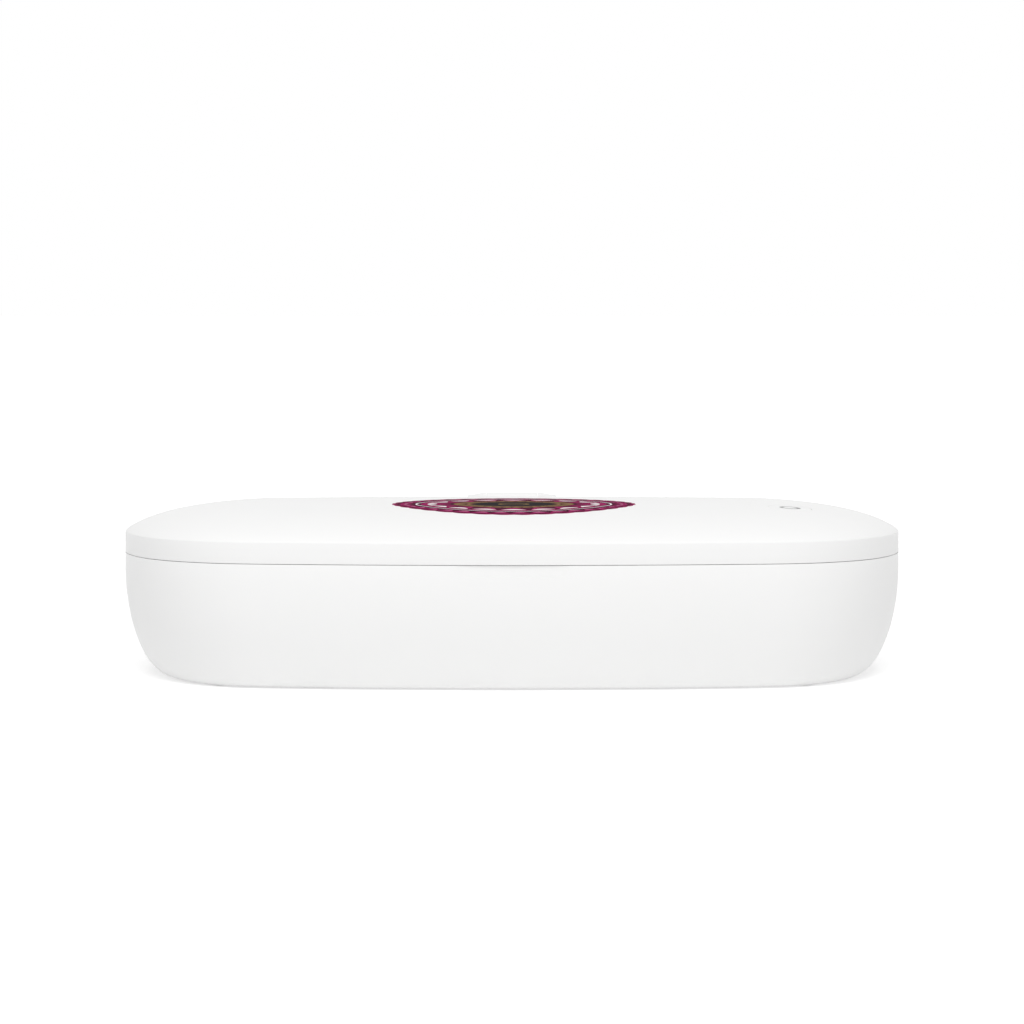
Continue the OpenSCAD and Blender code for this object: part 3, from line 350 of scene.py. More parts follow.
class Solid:
    """A closed form under construction, in millimetres."""

    HEADINGS = 288
    ROUND_STEPS = 64
    PILOT_STEPS = 32
    CHANNEL_STEPS = 24
    TOUCH = 1e-4

    def __init__(self) -> None:
        """Starts empty."""
        self.bm = bmesh.new()

    @classmethod
    def lofted(cls, rings: Sequence[Pair], place: Callable[[float, float, float], Vector]) -> "Solid":
        """Rings drawn out one from another, capped at both ends.

        Args:
            rings: Two values that set each ring.
            place: Gives a corner's place from its heading and its ring's two values.

        Returns:
            The closed solid.
        """
        solid = cls()
        bm = solid.bm
        heading = bm.verts.layers.float.new("heading")
        verts = set(bmesh.ops.create_circle(bm, segments=cls.HEADINGS, radius=1.0)["verts"])
        for vert in verts:
            vert[heading] = math.atan2(vert.co.y, vert.co.x)
        first = edges = bm.edges[:]
        for index, ring in enumerate(rings):
            if index:
                made = bmesh.ops.extrude_edge_only(bm, edges=edges)["geom"]
                verts = {item for item in made if isinstance(item, bmesh.types.BMVert)}
                edges = [item for item in made
                         if isinstance(item, bmesh.types.BMEdge) and set(item.verts) <= verts]
            for vert in verts:
                vert.co = place(vert[heading], *ring)
        bmesh.ops.contextual_create(bm, geom=first)
        bmesh.ops.contextual_create(bm, geom=edges)
        return solid.mended()

    @classmethod
    def ringed(cls, path: Sequence[Pair]) -> "Solid":
        """Rings round the case outline, each at an inset and a height."""
        return cls.lofted(path, lambda heading, inset, height:
                          CASE.outline.place(heading, inset).to_3d() + Vector((0, 0, height)))

    @classmethod
    def turned(cls, line: Sequence[Pair], centre: Triple = (0.0, 0.0, 0.0), axis: Axis = Axis.Z,
               steps: int = ROUND_STEPS) -> "Solid":
        """A form turned about an axis.

        Args:
            line: Points of radius and place along the axis; it starts and ends on the axis,
                or closes on itself.
            centre: Where the axis starts.
            axis: Direction of the axis.
            steps: Number of steps in a full turn.

        Returns:
            The closed solid.
        """
        solid = cls()
        bm = solid.bm
        verts = [bm.verts.new((radius, 0.0, along)) for radius, along in line]
        pairs = list(zip(verts, verts[1:]))
        if line[0][0] > cls.TOUCH and line[-1][0] > cls.TOUCH:
            pairs.append((verts[-1], verts[0]))
        edges = [bm.edges.new(pair) for pair in pairs]
        bmesh.ops.spin(bm, geom=verts + edges, cent=(0, 0, 0), axis=(0, 0, 1), dvec=(0, 0, 0),
                       angle=math.tau, steps=steps, use_merge=True, use_normal_flip=False,
                       use_duplicate=False)
        bmesh.ops.transform(bm, matrix=Matrix.Translation(centre) @ axis.turn(), verts=bm.verts)
        return solid.mended()

    @classmethod
    def bar(cls, radius: float, start: float, end: float, centre: Triple = (0.0, 0.0, 0.0),
            axis: Axis = Axis.Z, chamfer: float = 0.0, steps: int = ROUND_STEPS) -> "Solid":
        """A round bar, with its ends' edges taken off where a chamfer is given."""
        side = [(radius, start + chamfer), (radius, end - chamfer)] if chamfer else []
        return cls.turned([(0.0, start), (radius - chamfer, start), *side, (radius - chamfer, end),
                           (0.0, end)], centre, axis, steps)

    @classmethod
    def bars(cls, places: Iterable[Pair], radius: float, low: float, high: float,
             chamfer: float = 0.0, steps: int = ROUND_STEPS) -> "Solid":
        """Upright round bars, one at each place."""
        return cls.repeated(
            lambda x, y: cls.bar(radius, low, high, (x, y, 0), Axis.Z, chamfer, steps), places)

    @classmethod
    def turnings(cls, places: Iterable[Pair], line: Sequence[Pair]) -> "Solid":
        """Forms turned about upright axes, one at each place."""
        return cls.repeated(lambda x, y: cls.turned(line, (x, y, 0)), places)

    @classmethod
    def block(cls, low: Triple, high: Triple, round_by: float = 0.0, segments: int = 2) -> "Solid":
        """A box between two corners, with its edges rounded where a size is given."""
        solid = cls()
        start, end = Vector(low), Vector(high)
        place = Matrix.Translation((start + end) / 2) @ Matrix.Diagonal((end - start).to_4d())
        bmesh.ops.create_cube(solid.bm, size=1.0, matrix=place)
        return solid.bevelled(round_by, segments=segments) if round_by else solid

    @classmethod
    def slab(cls, middle: Sequence[float], halves: Pair, ends: Pair, round_by: float = 0.0,
             segments: int = 2) -> "Solid":
        """A box about a point in plan, between two heights in either order."""
        (x, y), (a, b), (low, high) = middle[:2], halves, sorted(ends)
        return cls.block((x - a, y - b, low), (x + a, y + b, high), round_by, segments)

    @classmethod
    def drawn(cls, points: Sequence[Pair], start: float, end: float, axis: Axis) -> "Solid":
        """A closed drawing, drawn out along an axis.

        Args:
            points: The drawing's corners: y and z along X, x and z along Y, x and y along Z.
            start: Where it starts along the axis.
            end: Where it ends.
            axis: Direction in which it is drawn out.

        Returns:
            The closed solid.
        """
        solid = cls()
        index = (Axis.X, Axis.Y, Axis.Z).index(axis)
        corners = [(*point[:index], start, *point[index:]) for point in points]
        face = solid.bm.faces.new([solid.bm.verts.new(corner) for corner in corners])
        made = bmesh.ops.extrude_face_region(solid.bm, geom=[face])["geom"]
        bmesh.ops.translate(solid.bm, vec=Vector(axis.value) * (end - start),
                            verts=[v for v in made if isinstance(v, bmesh.types.BMVert)])
        return solid.mended()

    @classmethod
    def from_node(cls, node: str) -> "Solid":
        """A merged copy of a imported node's mesh."""
        solid = cls()
        bm = solid.bm
        bm.from_mesh(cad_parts[node].data)
        bmesh.ops.scale(bm, vec=Vector((1, 1, 1)) / METRES, verts=bm.verts)
        bmesh.ops.remove_doubles(bm, verts=bm.verts, dist=2e-3)
        bmesh.ops.dissolve_limit(bm, angle_limit=math.radians(0.5), verts=bm.verts, edges=bm.edges)
        return solid

    @classmethod
    def repeated(cls, make: Callable[[float, float], "Solid"], places: Iterable[Pair]) -> "Solid":
        """One copy of a form at each place, as loose parts of one solid."""
        return cls().beside(*[make(x, y) for x, y in places])

    def beside(self, *others: "Solid") -> "Solid":
        """Adds forms that stand clear of this one, as loose parts of one solid."""
        for other in others:
            mesh = bpy.data.meshes.new("loose")
            other.bm.to_mesh(mesh)
            self.bm.from_mesh(mesh)
            bpy.data.meshes.remove(mesh)
        return self

    def mended(self) -> "Solid":
        """Merges corners that coincide and points the faces outwards."""
        bmesh.ops.remove_doubles(self.bm, verts=self.bm.verts, dist=self.TOUCH)
        bmesh.ops.recalc_face_normals(self.bm, faces=self.bm.faces)
        return self

    def rotated(self, degrees: float, axis: Axis, about: Triple) -> "Solid":
        """Turns the form about a line through a point."""
        bmesh.ops.rotate(self.bm, cent=about, verts=self.bm.verts,
                         matrix=Matrix.Rotation(math.radians(degrees), 3, Vector(axis.value)))
        return self

    def bevelled(self, width: float, least_angle: float = 35.0, segments: int = 2,
                 only: Callable[[Vector], bool] | None = None) -> "Solid":
        """Rounds the sharp edges.

        Args:
            width: Width that is taken off.
            least_angle: Angle between two faces, in degrees, from which their edge is rounded.
            segments: Steps across the rounding.
            only: Test of an edge's middle, where only some edges are rounded.

        Returns:
            This solid.
        """
        sharp = [edge for edge in self.bm.edges
                 if len(edge.link_faces) == 2
                 and edge.calc_face_angle(0.0) > math.radians(least_angle)
                 and (only is None or only((edge.verts[0].co + edge.verts[1].co) / 2))]
        if sharp:
            bmesh.ops.bevel(self.bm, geom=sharp, offset=width, offset_type="OFFSET", affect="EDGES",
                            segments=segments, profile=0.5, material=-1, clamp_overlap=True)
        return self

    def shaped(self, change: Callable[[Vector], Vector]) -> "Solid":
        """Moves every corner by a rule."""
        for vert in self.bm.verts:
            vert.co = change(vert.co)
        return self

    def joined(self, how: Join, *tools: "Solid") -> "Solid":
        """Adds or cuts away other solids, one after another."""
        for tool in tools:
            target, cutter = (self._as_object(solid) for solid in (self, tool))
            modifier = target.modifiers.new("join", "BOOLEAN")
            modifier.operation, modifier.solver, modifier.object = how.value, "MANIFOLD", cutter
            graph = bpy.context.evaluated_depsgraph_get()
            mesh = bpy.data.meshes.new_from_object(target.evaluated_get(graph))
            if not mesh.polygons:
                LOG.warning("a join left nothing")
            self.bm.clear()
            self.bm.from_mesh(mesh)
            for spent in (mesh, target.data, cutter.data):
                bpy.data.meshes.remove(spent)
            bmesh.ops.remove_doubles(self.bm, verts=self.bm.verts, dist=self.TOUCH)
        return self

    @staticmethod
    def _as_object(solid: "Solid") -> bpy.types.Object:
        """A passing object that holds a solid's mesh."""
        mesh = bpy.data.meshes.new("passing")
        solid.bm.to_mesh(mesh)
        item = bpy.data.objects.new("passing", mesh)
        bpy.context.scene.collection.objects.link(item)
        return item


class Lump:
    """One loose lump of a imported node, in millimetres."""

    SAME_LEVEL = 0.02

    def __init__(self, corners: Sequence[Vector]) -> None:
        """Measures the lump from its corners."""
        self.corners = corners
        self.low, self.high = (Vector(map(pick, zip(*corners))) for pick in (min, max))
        self.middle = (self.low + self.high) / 2
        self.levels = sorted({round(corner.z, 2) for corner in corners})

    @property
    def place(self) -> Triple:
        """Its middle in plan."""
        return (self.middle.x, self.middle.y, 0.0)

    def widest(self, level: float) -> float:
        """Largest distance from its upright axis at a height."""
        return max((corner.xy - self.middle.xy).length for corner in self.corners
                   if abs(corner.z - level) < self.SAME_LEVEL)

    @classmethod
    def all_of(cls, node: str) -> list["Lump"]:
        """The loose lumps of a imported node."""
        bm = Solid.from_node(node).bm
        seen: set[bmesh.types.BMVert] = set()
        lumps = []
        for start in bm.verts:
            if start in seen:
                continue
            seen.add(start)
            waiting, corners = [start], []
            while waiting:
                vert = waiting.pop()
                corners.append(vert.co.copy())
                fresh = {edge.other_vert(vert) for edge in vert.link_edges} - seen
                seen |= fresh
                waiting += fresh
            lumps.append(cls(corners))
        bm.free()
        return lumps


def hinge_notch(low: float, high: float) -> Solid:
    """What the room for the tub's hinge arm takes out, between two heights."""
    half = CASE.hinge_notch_half
    return Solid.block((-half, CASE.hinge[0] - CASE.hinge_relief, low), (half, 61.0, high))


def window_seats(face: float, way: int, depth: float) -> Solid:
    """What the stepped seats of the lamp windows take out of a panel.

    Args:
        face: Height of the panel's bright face.
        way: 1 where that faces up, -1 where it faces down.
        depth: How far the cut goes behind the face.

    Returns:
        The cutter.
    """
    r = CASE.window_radius
    line = [(0, -depth), (r - 1, -depth), (r - 1, -1), (r + 0.05, -1), (r + 0.05, -0.3),
            (r + 0.55, 0.1), (r + 0.55, 1), (0, 1)]
    return Solid.turnings(CASE.lamps, [(radius, face + way * level) for radius, level in line][::way])


# -- Finishes -----------------------------------------------------------------


class Reading:
    """A shader socket; arithmetic on it adds Math nodes."""

    def __init__(self, shader: "Shader", socket: bpy.types.NodeSocket | None) -> None:
        """Keeps the socket and the shader that it belongs to."""
        self.shader = shader
        self.socket = socket

    def __add__(self, other: "Reading | float") -> "Reading":
        """This plus other."""
        return self.shader.math("ADD", self, other)

    def __sub__(self, other: "Reading | float") -> "Reading":
        """This less other."""
        return self.shader.math("SUBTRACT", self, other)

    def __rsub__(self, other: float) -> "Reading":
        """Other less this."""
        return self.shader.math("SUBTRACT", other, self)

    def __mul__(self, other: "Reading | float") -> "Reading":
        """This times other."""
        return self.shader.math("MULTIPLY", self, other)

    def __pow__(self, other: float) -> "Reading":
        """This to a power."""
        return self.shader.math("POWER", self, other)

    def __gt__(self, other: "Reading | float") -> "Reading":
        """One where this is greater."""
        return self.shader.math("GREATER_THAN", self, other)

    def __lt__(self, other: "Reading | float") -> "Reading":
        """One where this is less."""
        return self.shader.math("LESS_THAN", self, other)

    def __abs__(self) -> "Reading":
        """Distance from nought."""
        return self.shader.math("ABSOLUTE", self)

    __radd__ = __add__
    __rmul__ = __mul__


class Shader:
    """Node tree of one material, or of the world."""

    def __init__(self, name: str, world: bpy.types.World | None = None) -> None:
        """Empties the tree of a new material of that name, or of the world."""
        self.owner = world or bpy.data.materials.new(name)
        self.owner.use_nodes = True
        self.tree = self.owner.node_tree
        self.tree.nodes.clear()

    def add(self, kind: str, settings: dict[str, object] | None = None,
            inputs: dict[int | str, object] | None = None, output: int | str = 0) -> Reading:
        """Adds a node.

        Args:
            kind: The node's type.
            settings: Properties that are set first.
            inputs: Value or reading of each socket, by its name or number.
            output: Socket that is read.

        Returns:
            The reading of that output.
        """
        node = self.tree.nodes.new(kind)
        for name, value in (settings or {}).items():
            setattr(node, name, value)
        for name, value in (inputs or {}).items():
            if isinstance(value, Reading):
                self.tree.links.new(value.socket, node.inputs[name])
            else:
                node.inputs[name].default_value = value
        return Reading(self, node.outputs[output] if node.outputs else None)

    def math(self, operation: str, *values: Reading | float, **settings: object) -> Reading:
        """Adds one Math node on these values."""
        return self.add("ShaderNodeMath", {"operation": operation, **settings},
                        dict(enumerate(values)))

    def vector(self, operation: str, *values: object) -> Reading:
        """Adds one Vector Math node on these values."""
        return self.add("ShaderNodeVectorMath", {"operation": operation}, dict(enumerate(values)),
                        1 if operation == "LENGTH" else 0)

    def outputs(self, reading: Reading) -> dict[str, Reading]:
        """Every output of a reading's node, by its name."""
        return {socket.name: Reading(self, socket) for socket in reading.socket.node.outputs}

    def place(self) -> Reading:
        """The object's own coordinates, in metres."""
        return self.add("ShaderNodeTexCoord", output="Object")

    def noise(self, scale: float, detail: float = 2.0, roughness: float = 0.5,
              place: Reading | None = None) -> Reading:
        """Noise from 0 to 1, with scale in cycles a metre."""
        return self.add("ShaderNodeTexNoise", None, {
            "Vector": place or self.place(), "Scale": scale, "Detail": detail,
            "Roughness": roughness})

    def blend(self, factor: Reading | float, first: object, second: object) -> Reading:
        """Mixes two colours."""
        colours = {key: value if isinstance(value, Reading) else (*value, 1.0)
                   for key, value in ((6, first), (7, second))}
        return self.add("ShaderNodeMix", {"data_type": "RGBA"}, {0: factor, **colours}, 2)

    def ramp(self, value: Reading, start: float, end: float) -> Reading:
        """Eases from 0 to 1 while a value goes from start to end."""
        return self.add("ShaderNodeMapRange", {"interpolation_type": "SMOOTHSTEP"},
                        {0: value, 1: start, 2: end, 3: 0.0, 4: 1.0})

    def bump(self, height: Reading, strength: float, distance: float,
             under: Reading | None = None) -> Reading:
        """A normal raised by a height, over another where one is given."""
        inputs = {"Height": height, "Strength": strength, "Distance": distance}
        return self.add("ShaderNodeBump", None, {**inputs, "Normal": under} if under else inputs)


Sockets = dict[str, object]


@dataclass(frozen=True)
class Finish:
    """A surface of two close tones."""

    name: str
    colour: Triple
    shade: Triple

    def build(self) -> bpy.types.Material:
        """Makes the material, which ends in a Principled shader."""
        shader = Shader(self.name)
        surface = shader.add("ShaderNodeBsdfPrincipled", None, self.sockets(shader))
        shader.add("ShaderNodeOutputMaterial", None, {"Surface": surface})
        return shader.owner

    def sockets(self, shader: Shader) -> Sockets:
        """Values and readings of the Principled shader's sockets."""
        raise NotImplementedError


@dataclass(frozen=True)
class SatinMoulding(Finish):
    """Injection-moulded plastic with a fine eroded surface."""

    roughness: float = 0.46
    grain: float = 0.16
    sheen_level: float = 0.22

    def sockets(self, shader: Shader) -> Sockets:
        """Clouded tone over a fine grain."""
        broad = shader.noise(38.0, 3.0, 0.55)
        fine = shader.noise(5200.0, 1.0)
        flow = shader.noise(260.0, 4.0, 0.6)
        relief = fine * 0.8 + shader.noise(1400.0, 2.0) * 0.2
        return {"Base Color": shader.blend(broad * 0.7 + flow * 0.3, self.shade, self.colour),
                "Roughness": (flow - 0.5) * 0.10 + (fine - 0.5) * 0.08 + self.roughness,
                "Normal": shader.bump(relief, self.grain, 0.00002),
                "Specular IOR Level": self.sheen_level}


@dataclass(frozen=True)
class Metallised(Finish):
    """Plastic with a thin bright metal layer, over the moulding's slight waviness."""

    def sockets(self, shader: Shader) -> Sockets:
        """Haze and specks over slow waves."""
        waves = shader.noise(90.0, 2.0)
        haze = shader.noise(420.0, 4.0, 0.62)
        specks = shader.noise(6000.0, 1.0)
        under = shader.bump(waves, 0.25, 0.00025)
        return {"Base Color": shader.blend(haze * 0.3 + waves * 0.7, self.shade, self.colour),
                "Metallic": 1.0,
                "Roughness": haze * 0.07 + specks * 0.03 + 0.20,
                "Normal": shader.bump(specks, 0.06, 0.00002, under)}


@dataclass(frozen=True)
class BareMetal(Finish):
    """Plated or drawn metal with fine scratches along one direction."""

    roughness: float = 0.28
    stretch: Triple = (1.0, 1.0, 14.0)

    def sockets(self, shader: Shader) -> Sockets:
        """Scratches under a light tarnish."""
        drawn = shader.add("ShaderNodeMapping", None,
                           {"Vector": shader.place(), "Scale": self.stretch})
        scratches = shader.noise(2600.0, 3.0, 0.6, drawn)
        tarnish = shader.noise(300.0, 4.0, 0.6)
        return {"Base Color": shader.blend(tarnish * 0.8 + scratches * 0.2, self.shade, self.colour),
                "Metallic": 1.0,
                "Roughness": scratches * 0.18 + tarnish * 0.1 + (self.roughness - 0.12),
                "Normal": shader.bump(scratches, 0.12, 0.00002)}


@dataclass(frozen=True)
class ClearQuartz(Finish):
    """Fused quartz or clear resin, with faint streaks."""

    roughness: float = 0.03
    transmission: float = 0.92
    ior: float = 1.46

    def sockets(self, shader: Shader) -> Sockets:
        """Streaks in tone, gloss and surface."""
        streaks = shader.noise(500.0, 3.0, 0.6)
        return {"Base Color": shader.blend(streaks, self.shade, self.colour),
                "Roughness": streaks * 0.05 + self.roughness,
                "Normal": shader.bump(streaks, 0.05, 0.00003),
                "Transmission Weight": self.transmission, "IOR": self.ior}


@dataclass(frozen=True)
class BoardLacquer(Finish):
    """Circuit board: lacquer (colour) over copper tracks (shade), with tinned pads."""

    tin: Triple
    pitch: float = 1.6

    def cells(self, shader: Shader, distance: str, pitches: float, randomness: float) -> Reading:
        """Distance to the middle of scattered cells, a number of pitches wide."""
        return shader.add("ShaderNodeTexVoronoi", {"distance": distance, "feature": "F1"}, {
            "Vector": shader.place(), "Scale": 1000 / (self.pitch * pitches),
            "Randomness": randomness})

    def sockets(self, shader: Shader) -> Sockets:
        """Tracks and pads stand out of the weave."""
        pads = self.cells(shader, "MANHATTAN", 2.2, 0.35) < 0.13
        tracks = shader.math("SINE", self.cells(shader, "CHEBYCHEV", 5, 1.0) * 46.0) > 0.55
        weave = shader.noise(3800.0, 2.0)
        ground = shader.blend(tracks * 0.8, self.colour, self.shade)
        relief = tracks * 0.6 + pads * 0.4 + weave * 0.1
        return {"Base Color": shader.blend(pads, ground, self.tin),
                "Roughness": weave * 0.12 + 0.26 + pads * 0.1,
                "Metallic": pads * 0.9,
                "Normal": shader.bump(relief, 0.4, 0.00004)}


@dataclass(frozen=True)
class SoftRubber(Finish):
    """Matt rubber or silicone with a little bloom (shade)."""

    roughness: float = 0.7
    sheen_level: float = 0.35

    def sockets(self, shader: Shader) -> Sockets:
        """Cloudy bloom over a grain."""
        cloud = shader.noise(240.0, 4.0, 0.65)
        grain = shader.noise(4200.0, 2.0)
        return {"Base Color": shader.blend(cloud * 0.6, self.colour, self.shade),
                "Roughness": cloud * 0.14 + grain * 0.08 + (self.roughness - 0.11),
                "Normal": shader.bump(grain, 0.25, 0.00003),
                "Specular IOR Level": self.sheen_level}


@dataclass(frozen=True)
class Ceramic(Finish):
    """Sintered lamp package."""

    def sockets(self, shader: Shader) -> Sockets:
        """One grain for tone, gloss and surface."""
        grain = shader.noise(2400.0, 3.0, 0.6)
        return {"Base Color": shader.blend(grain, self.shade, self.colour),
                "Roughness": grain * 0.2 + 0.35, "Normal": shader.bump(grain, 0.2, 0.00002)}


@dataclass(frozen=True)
class RoundPrint(Finish):
    """Round print in rings of petals and leaves, in inks on a wine ground (colour)."""

    name: str = "rosette_ink"
    colour: Triple = (0.075, 0.006, 0.028)
    shade: Triple = (0.86, 0.86, 0.855)
    centre: Pair = (0.5, -13.0)
    radius: float = 34.1
    depth_share: float = 0.80
    scallop: float = 0.018
    rose: Triple = (0.31, 0.016, 0.105)
    pale_rose: Triple = (0.48, 0.16, 0.28)
    gold: Triple = (0.235, 0.15, 0.065)
    brown: Triple = (0.085, 0.040, 0.028)
    black: Triple = (0.012, 0.010, 0.012)
    petals: int = 18
    leaves: int = 36

    def sockets(self, shader: Shader) -> Sockets:
        """Inks laid one over another, from the rim inwards; white is the shade."""
        scale = 1 / (self.radius * METRES)
        centred = shader.add("ShaderNodeMapping", {"vector_type": "TEXTURE"}, {
            "Vector": shader.place(),
            "Location": (self.centre[0] * METRES, self.centre[1] * METRES, 0.0)})
        parts = shader.outputs(shader.add("ShaderNodeSeparateXYZ", None, {0: centred}))
        x, y = parts["X"] * scale, parts["Y"] * (scale / self.depth_share)
        turn = shader.math("ARCTAN2", y, x)
        petal = abs(shader.math("SINE", turn * (self.petals / 2)))
        leaf = abs(shader.math("SINE", turn * (self.leaves / 2) + 0.6))
        reach = (x * x + y * y) ** 0.5 + (shader.noise(150.0, 2.0) - 0.5) * 0.012
        inks = (
            (reach > 0.95 + leaf * 0.03, self.rose),
            ((reach < 0.93) * (reach > 0.935 - leaf * 0.10), self.rose),
            ((reach < 0.895) * (reach > 0.92 - leaf * 0.05), self.pale_rose),
            ((reach < 0.805) * (reach > 0.79), self.shade),
            ((reach < 0.76) * (reach > 0.76 - petal * 0.24), self.rose),
            ((reach < 0.705) * (reach > 0.725 - petal * 0.085), self.shade),
            (reach < 0.50, self.brown),
            ((reach < 0.49) * (reach > 0.49 - leaf * 0.09), self.gold),
            ((reach < 0.385) * (reach > 0.36), self.gold),
            (reach < 0.33 + petal * 0.02, self.black),
            ((reach < 0.13) * (reach > 0.10), self.gold))
        colour: object = self.colour
        for mask, ink in inks:
            colour = shader.blend(mask, colour, ink)
        worn = (shader.noise(1800.0, 2.0) - 0.5) * 0.05
        film = shader.noise(3200.0, 1.0)
        return {"Base Color": shader.blend(worn, colour, self.shade),
                "Roughness": film * 0.12 + 0.72,
                "Normal": shader.bump(film, 0.12, 0.00002), "Specular IOR Level": 0.02}


class Finishes:
    """Every finish of the box, each made once."""

    CASE = SatinMoulding("white_satin_moulding", (0.885, 0.885, 0.880), (0.868, 0.868, 0.866))
    CAP = SatinMoulding("white_button_moulding", (0.885, 0.885, 0.880), (0.865, 0.865, 0.862), 0.38)
    MARK = SatinMoulding("grey_ring_moulding", (0.20, 0.20, 0.205), (0.17, 0.17, 0.175), 0.4)
    BLACK = SatinMoulding("black_component_moulding", (0.020, 0.020, 0.022), (0.013, 0.013, 0.014),
                          0.5)
    NYLON = SatinMoulding("cream_plug_nylon", (0.76, 0.73, 0.64), (0.68, 0.65, 0.56), 0.45)
    DIE = SatinMoulding("violet_lamp_die", (0.075, 0.045, 0.13), (0.045, 0.03, 0.08), 0.2)
    REFLECTOR = Metallised("metallised_reflector", (0.63, 0.64, 0.65), (0.57, 0.58, 0.60))
    STEEL = BareMetal("zinc_plated_steel", (0.60, 0.61, 0.62), (0.44, 0.45, 0.47))
    CAN = BareMetal("drawn_aluminium", (0.80, 0.80, 0.81), (0.68, 0.68, 0.70), 0.3)
    NICKEL = BareMetal("nickel_plating", (0.70, 0.68, 0.64), (0.58, 0.56, 0.53), 0.16, (1, 1, 1))
    GOLD = BareMetal("contact_gold", (0.86, 0.60, 0.22), (0.74, 0.50, 0.18), 0.22)
    QUARTZ = ClearQuartz("fused_quartz", (0.96, 0.985, 1.0), (0.90, 0.95, 0.98))
    LENS = ClearQuartz("clear_epoxy", (0.92, 0.95, 0.98), (0.84, 0.88, 0.92), 0.08)
    BOARD = BoardLacquer("green_board_lacquer", (0.010, 0.085, 0.040), (0.022, 0.15, 0.07),
                         (0.62, 0.62, 0.6))
    FOOT = SoftRubber("white_foot_silicone", (0.72, 0.72, 0.71), (0.78, 0.78, 0.77), 0.6)
    SILICONE = SoftRubber("grey_silicone", (0.36, 0.36, 0.365), (0.46, 0.46, 0.465), 0.55)
    INSULATION = SoftRubber("lead_insulation", (0.014, 0.014, 0.015), (0.035, 0.035, 0.037), 0.5)
    LAMP = Ceramic("lamp_ceramic", (0.80, 0.78, 0.71), (0.70, 0.67, 0.58))
    PRINT = RoundPrint()

    _made: dict[str, bpy.types.Material] = {}

    @classmethod
    def material(cls, finish: Finish) -> bpy.types.Material:
        """The material of a finish."""
        if finish.name not in cls._made:
            cls._made[finish.name] = finish.build()
        return cls._made[finish.name]


# -- Pieces -------------------------------------------------------------------


@dataclass(frozen=True)
class Piece:
    """How a solid becomes a piece of the scene."""

    name: str
    body: Body
    slot: str
    finish: Finish
    replaces: str = ""
    smooth_below: float = 32.0
    subdivisions: int = 0

    def place(self, solid: Solid) -> None:
        """Makes the object from its finished form, dresses it and lets it ride on its body."""
        bm = solid.bm
        bmesh.ops.scale(bm, vec=Vector((1, 1, 1)) * METRES, verts=bm.verts)
        for layer in list(bm.verts.layers.float.values()):
            bm.verts.layers.float.remove(layer)
        mesh = bpy.data.meshes.new(self.name)
        bm.to_mesh(mesh)
        bm.free()
        mesh.polygons.foreach_set("use_smooth", [True] * len(mesh.polygons))
        mesh.set_sharp_from_angle(angle=math.radians(self.smooth_below))
        mesh.materials.append(Finishes.material(self.finish))
        item = bpy.data.objects.new(self.name, mesh)
        bpy.context.scene.collection.objects.link(item)
        if self.subdivisions:
            modifier = item.modifiers.new("subdivision", "SUBSURF")
            modifier.levels = modifier.render_levels = self.subdivisions
        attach(item, self.body.value)
        if self.replaces:
            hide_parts(self.replaces)
        LOG.info("%s: %d faces on %s", self.name, len(mesh.polygons), self.body.value)


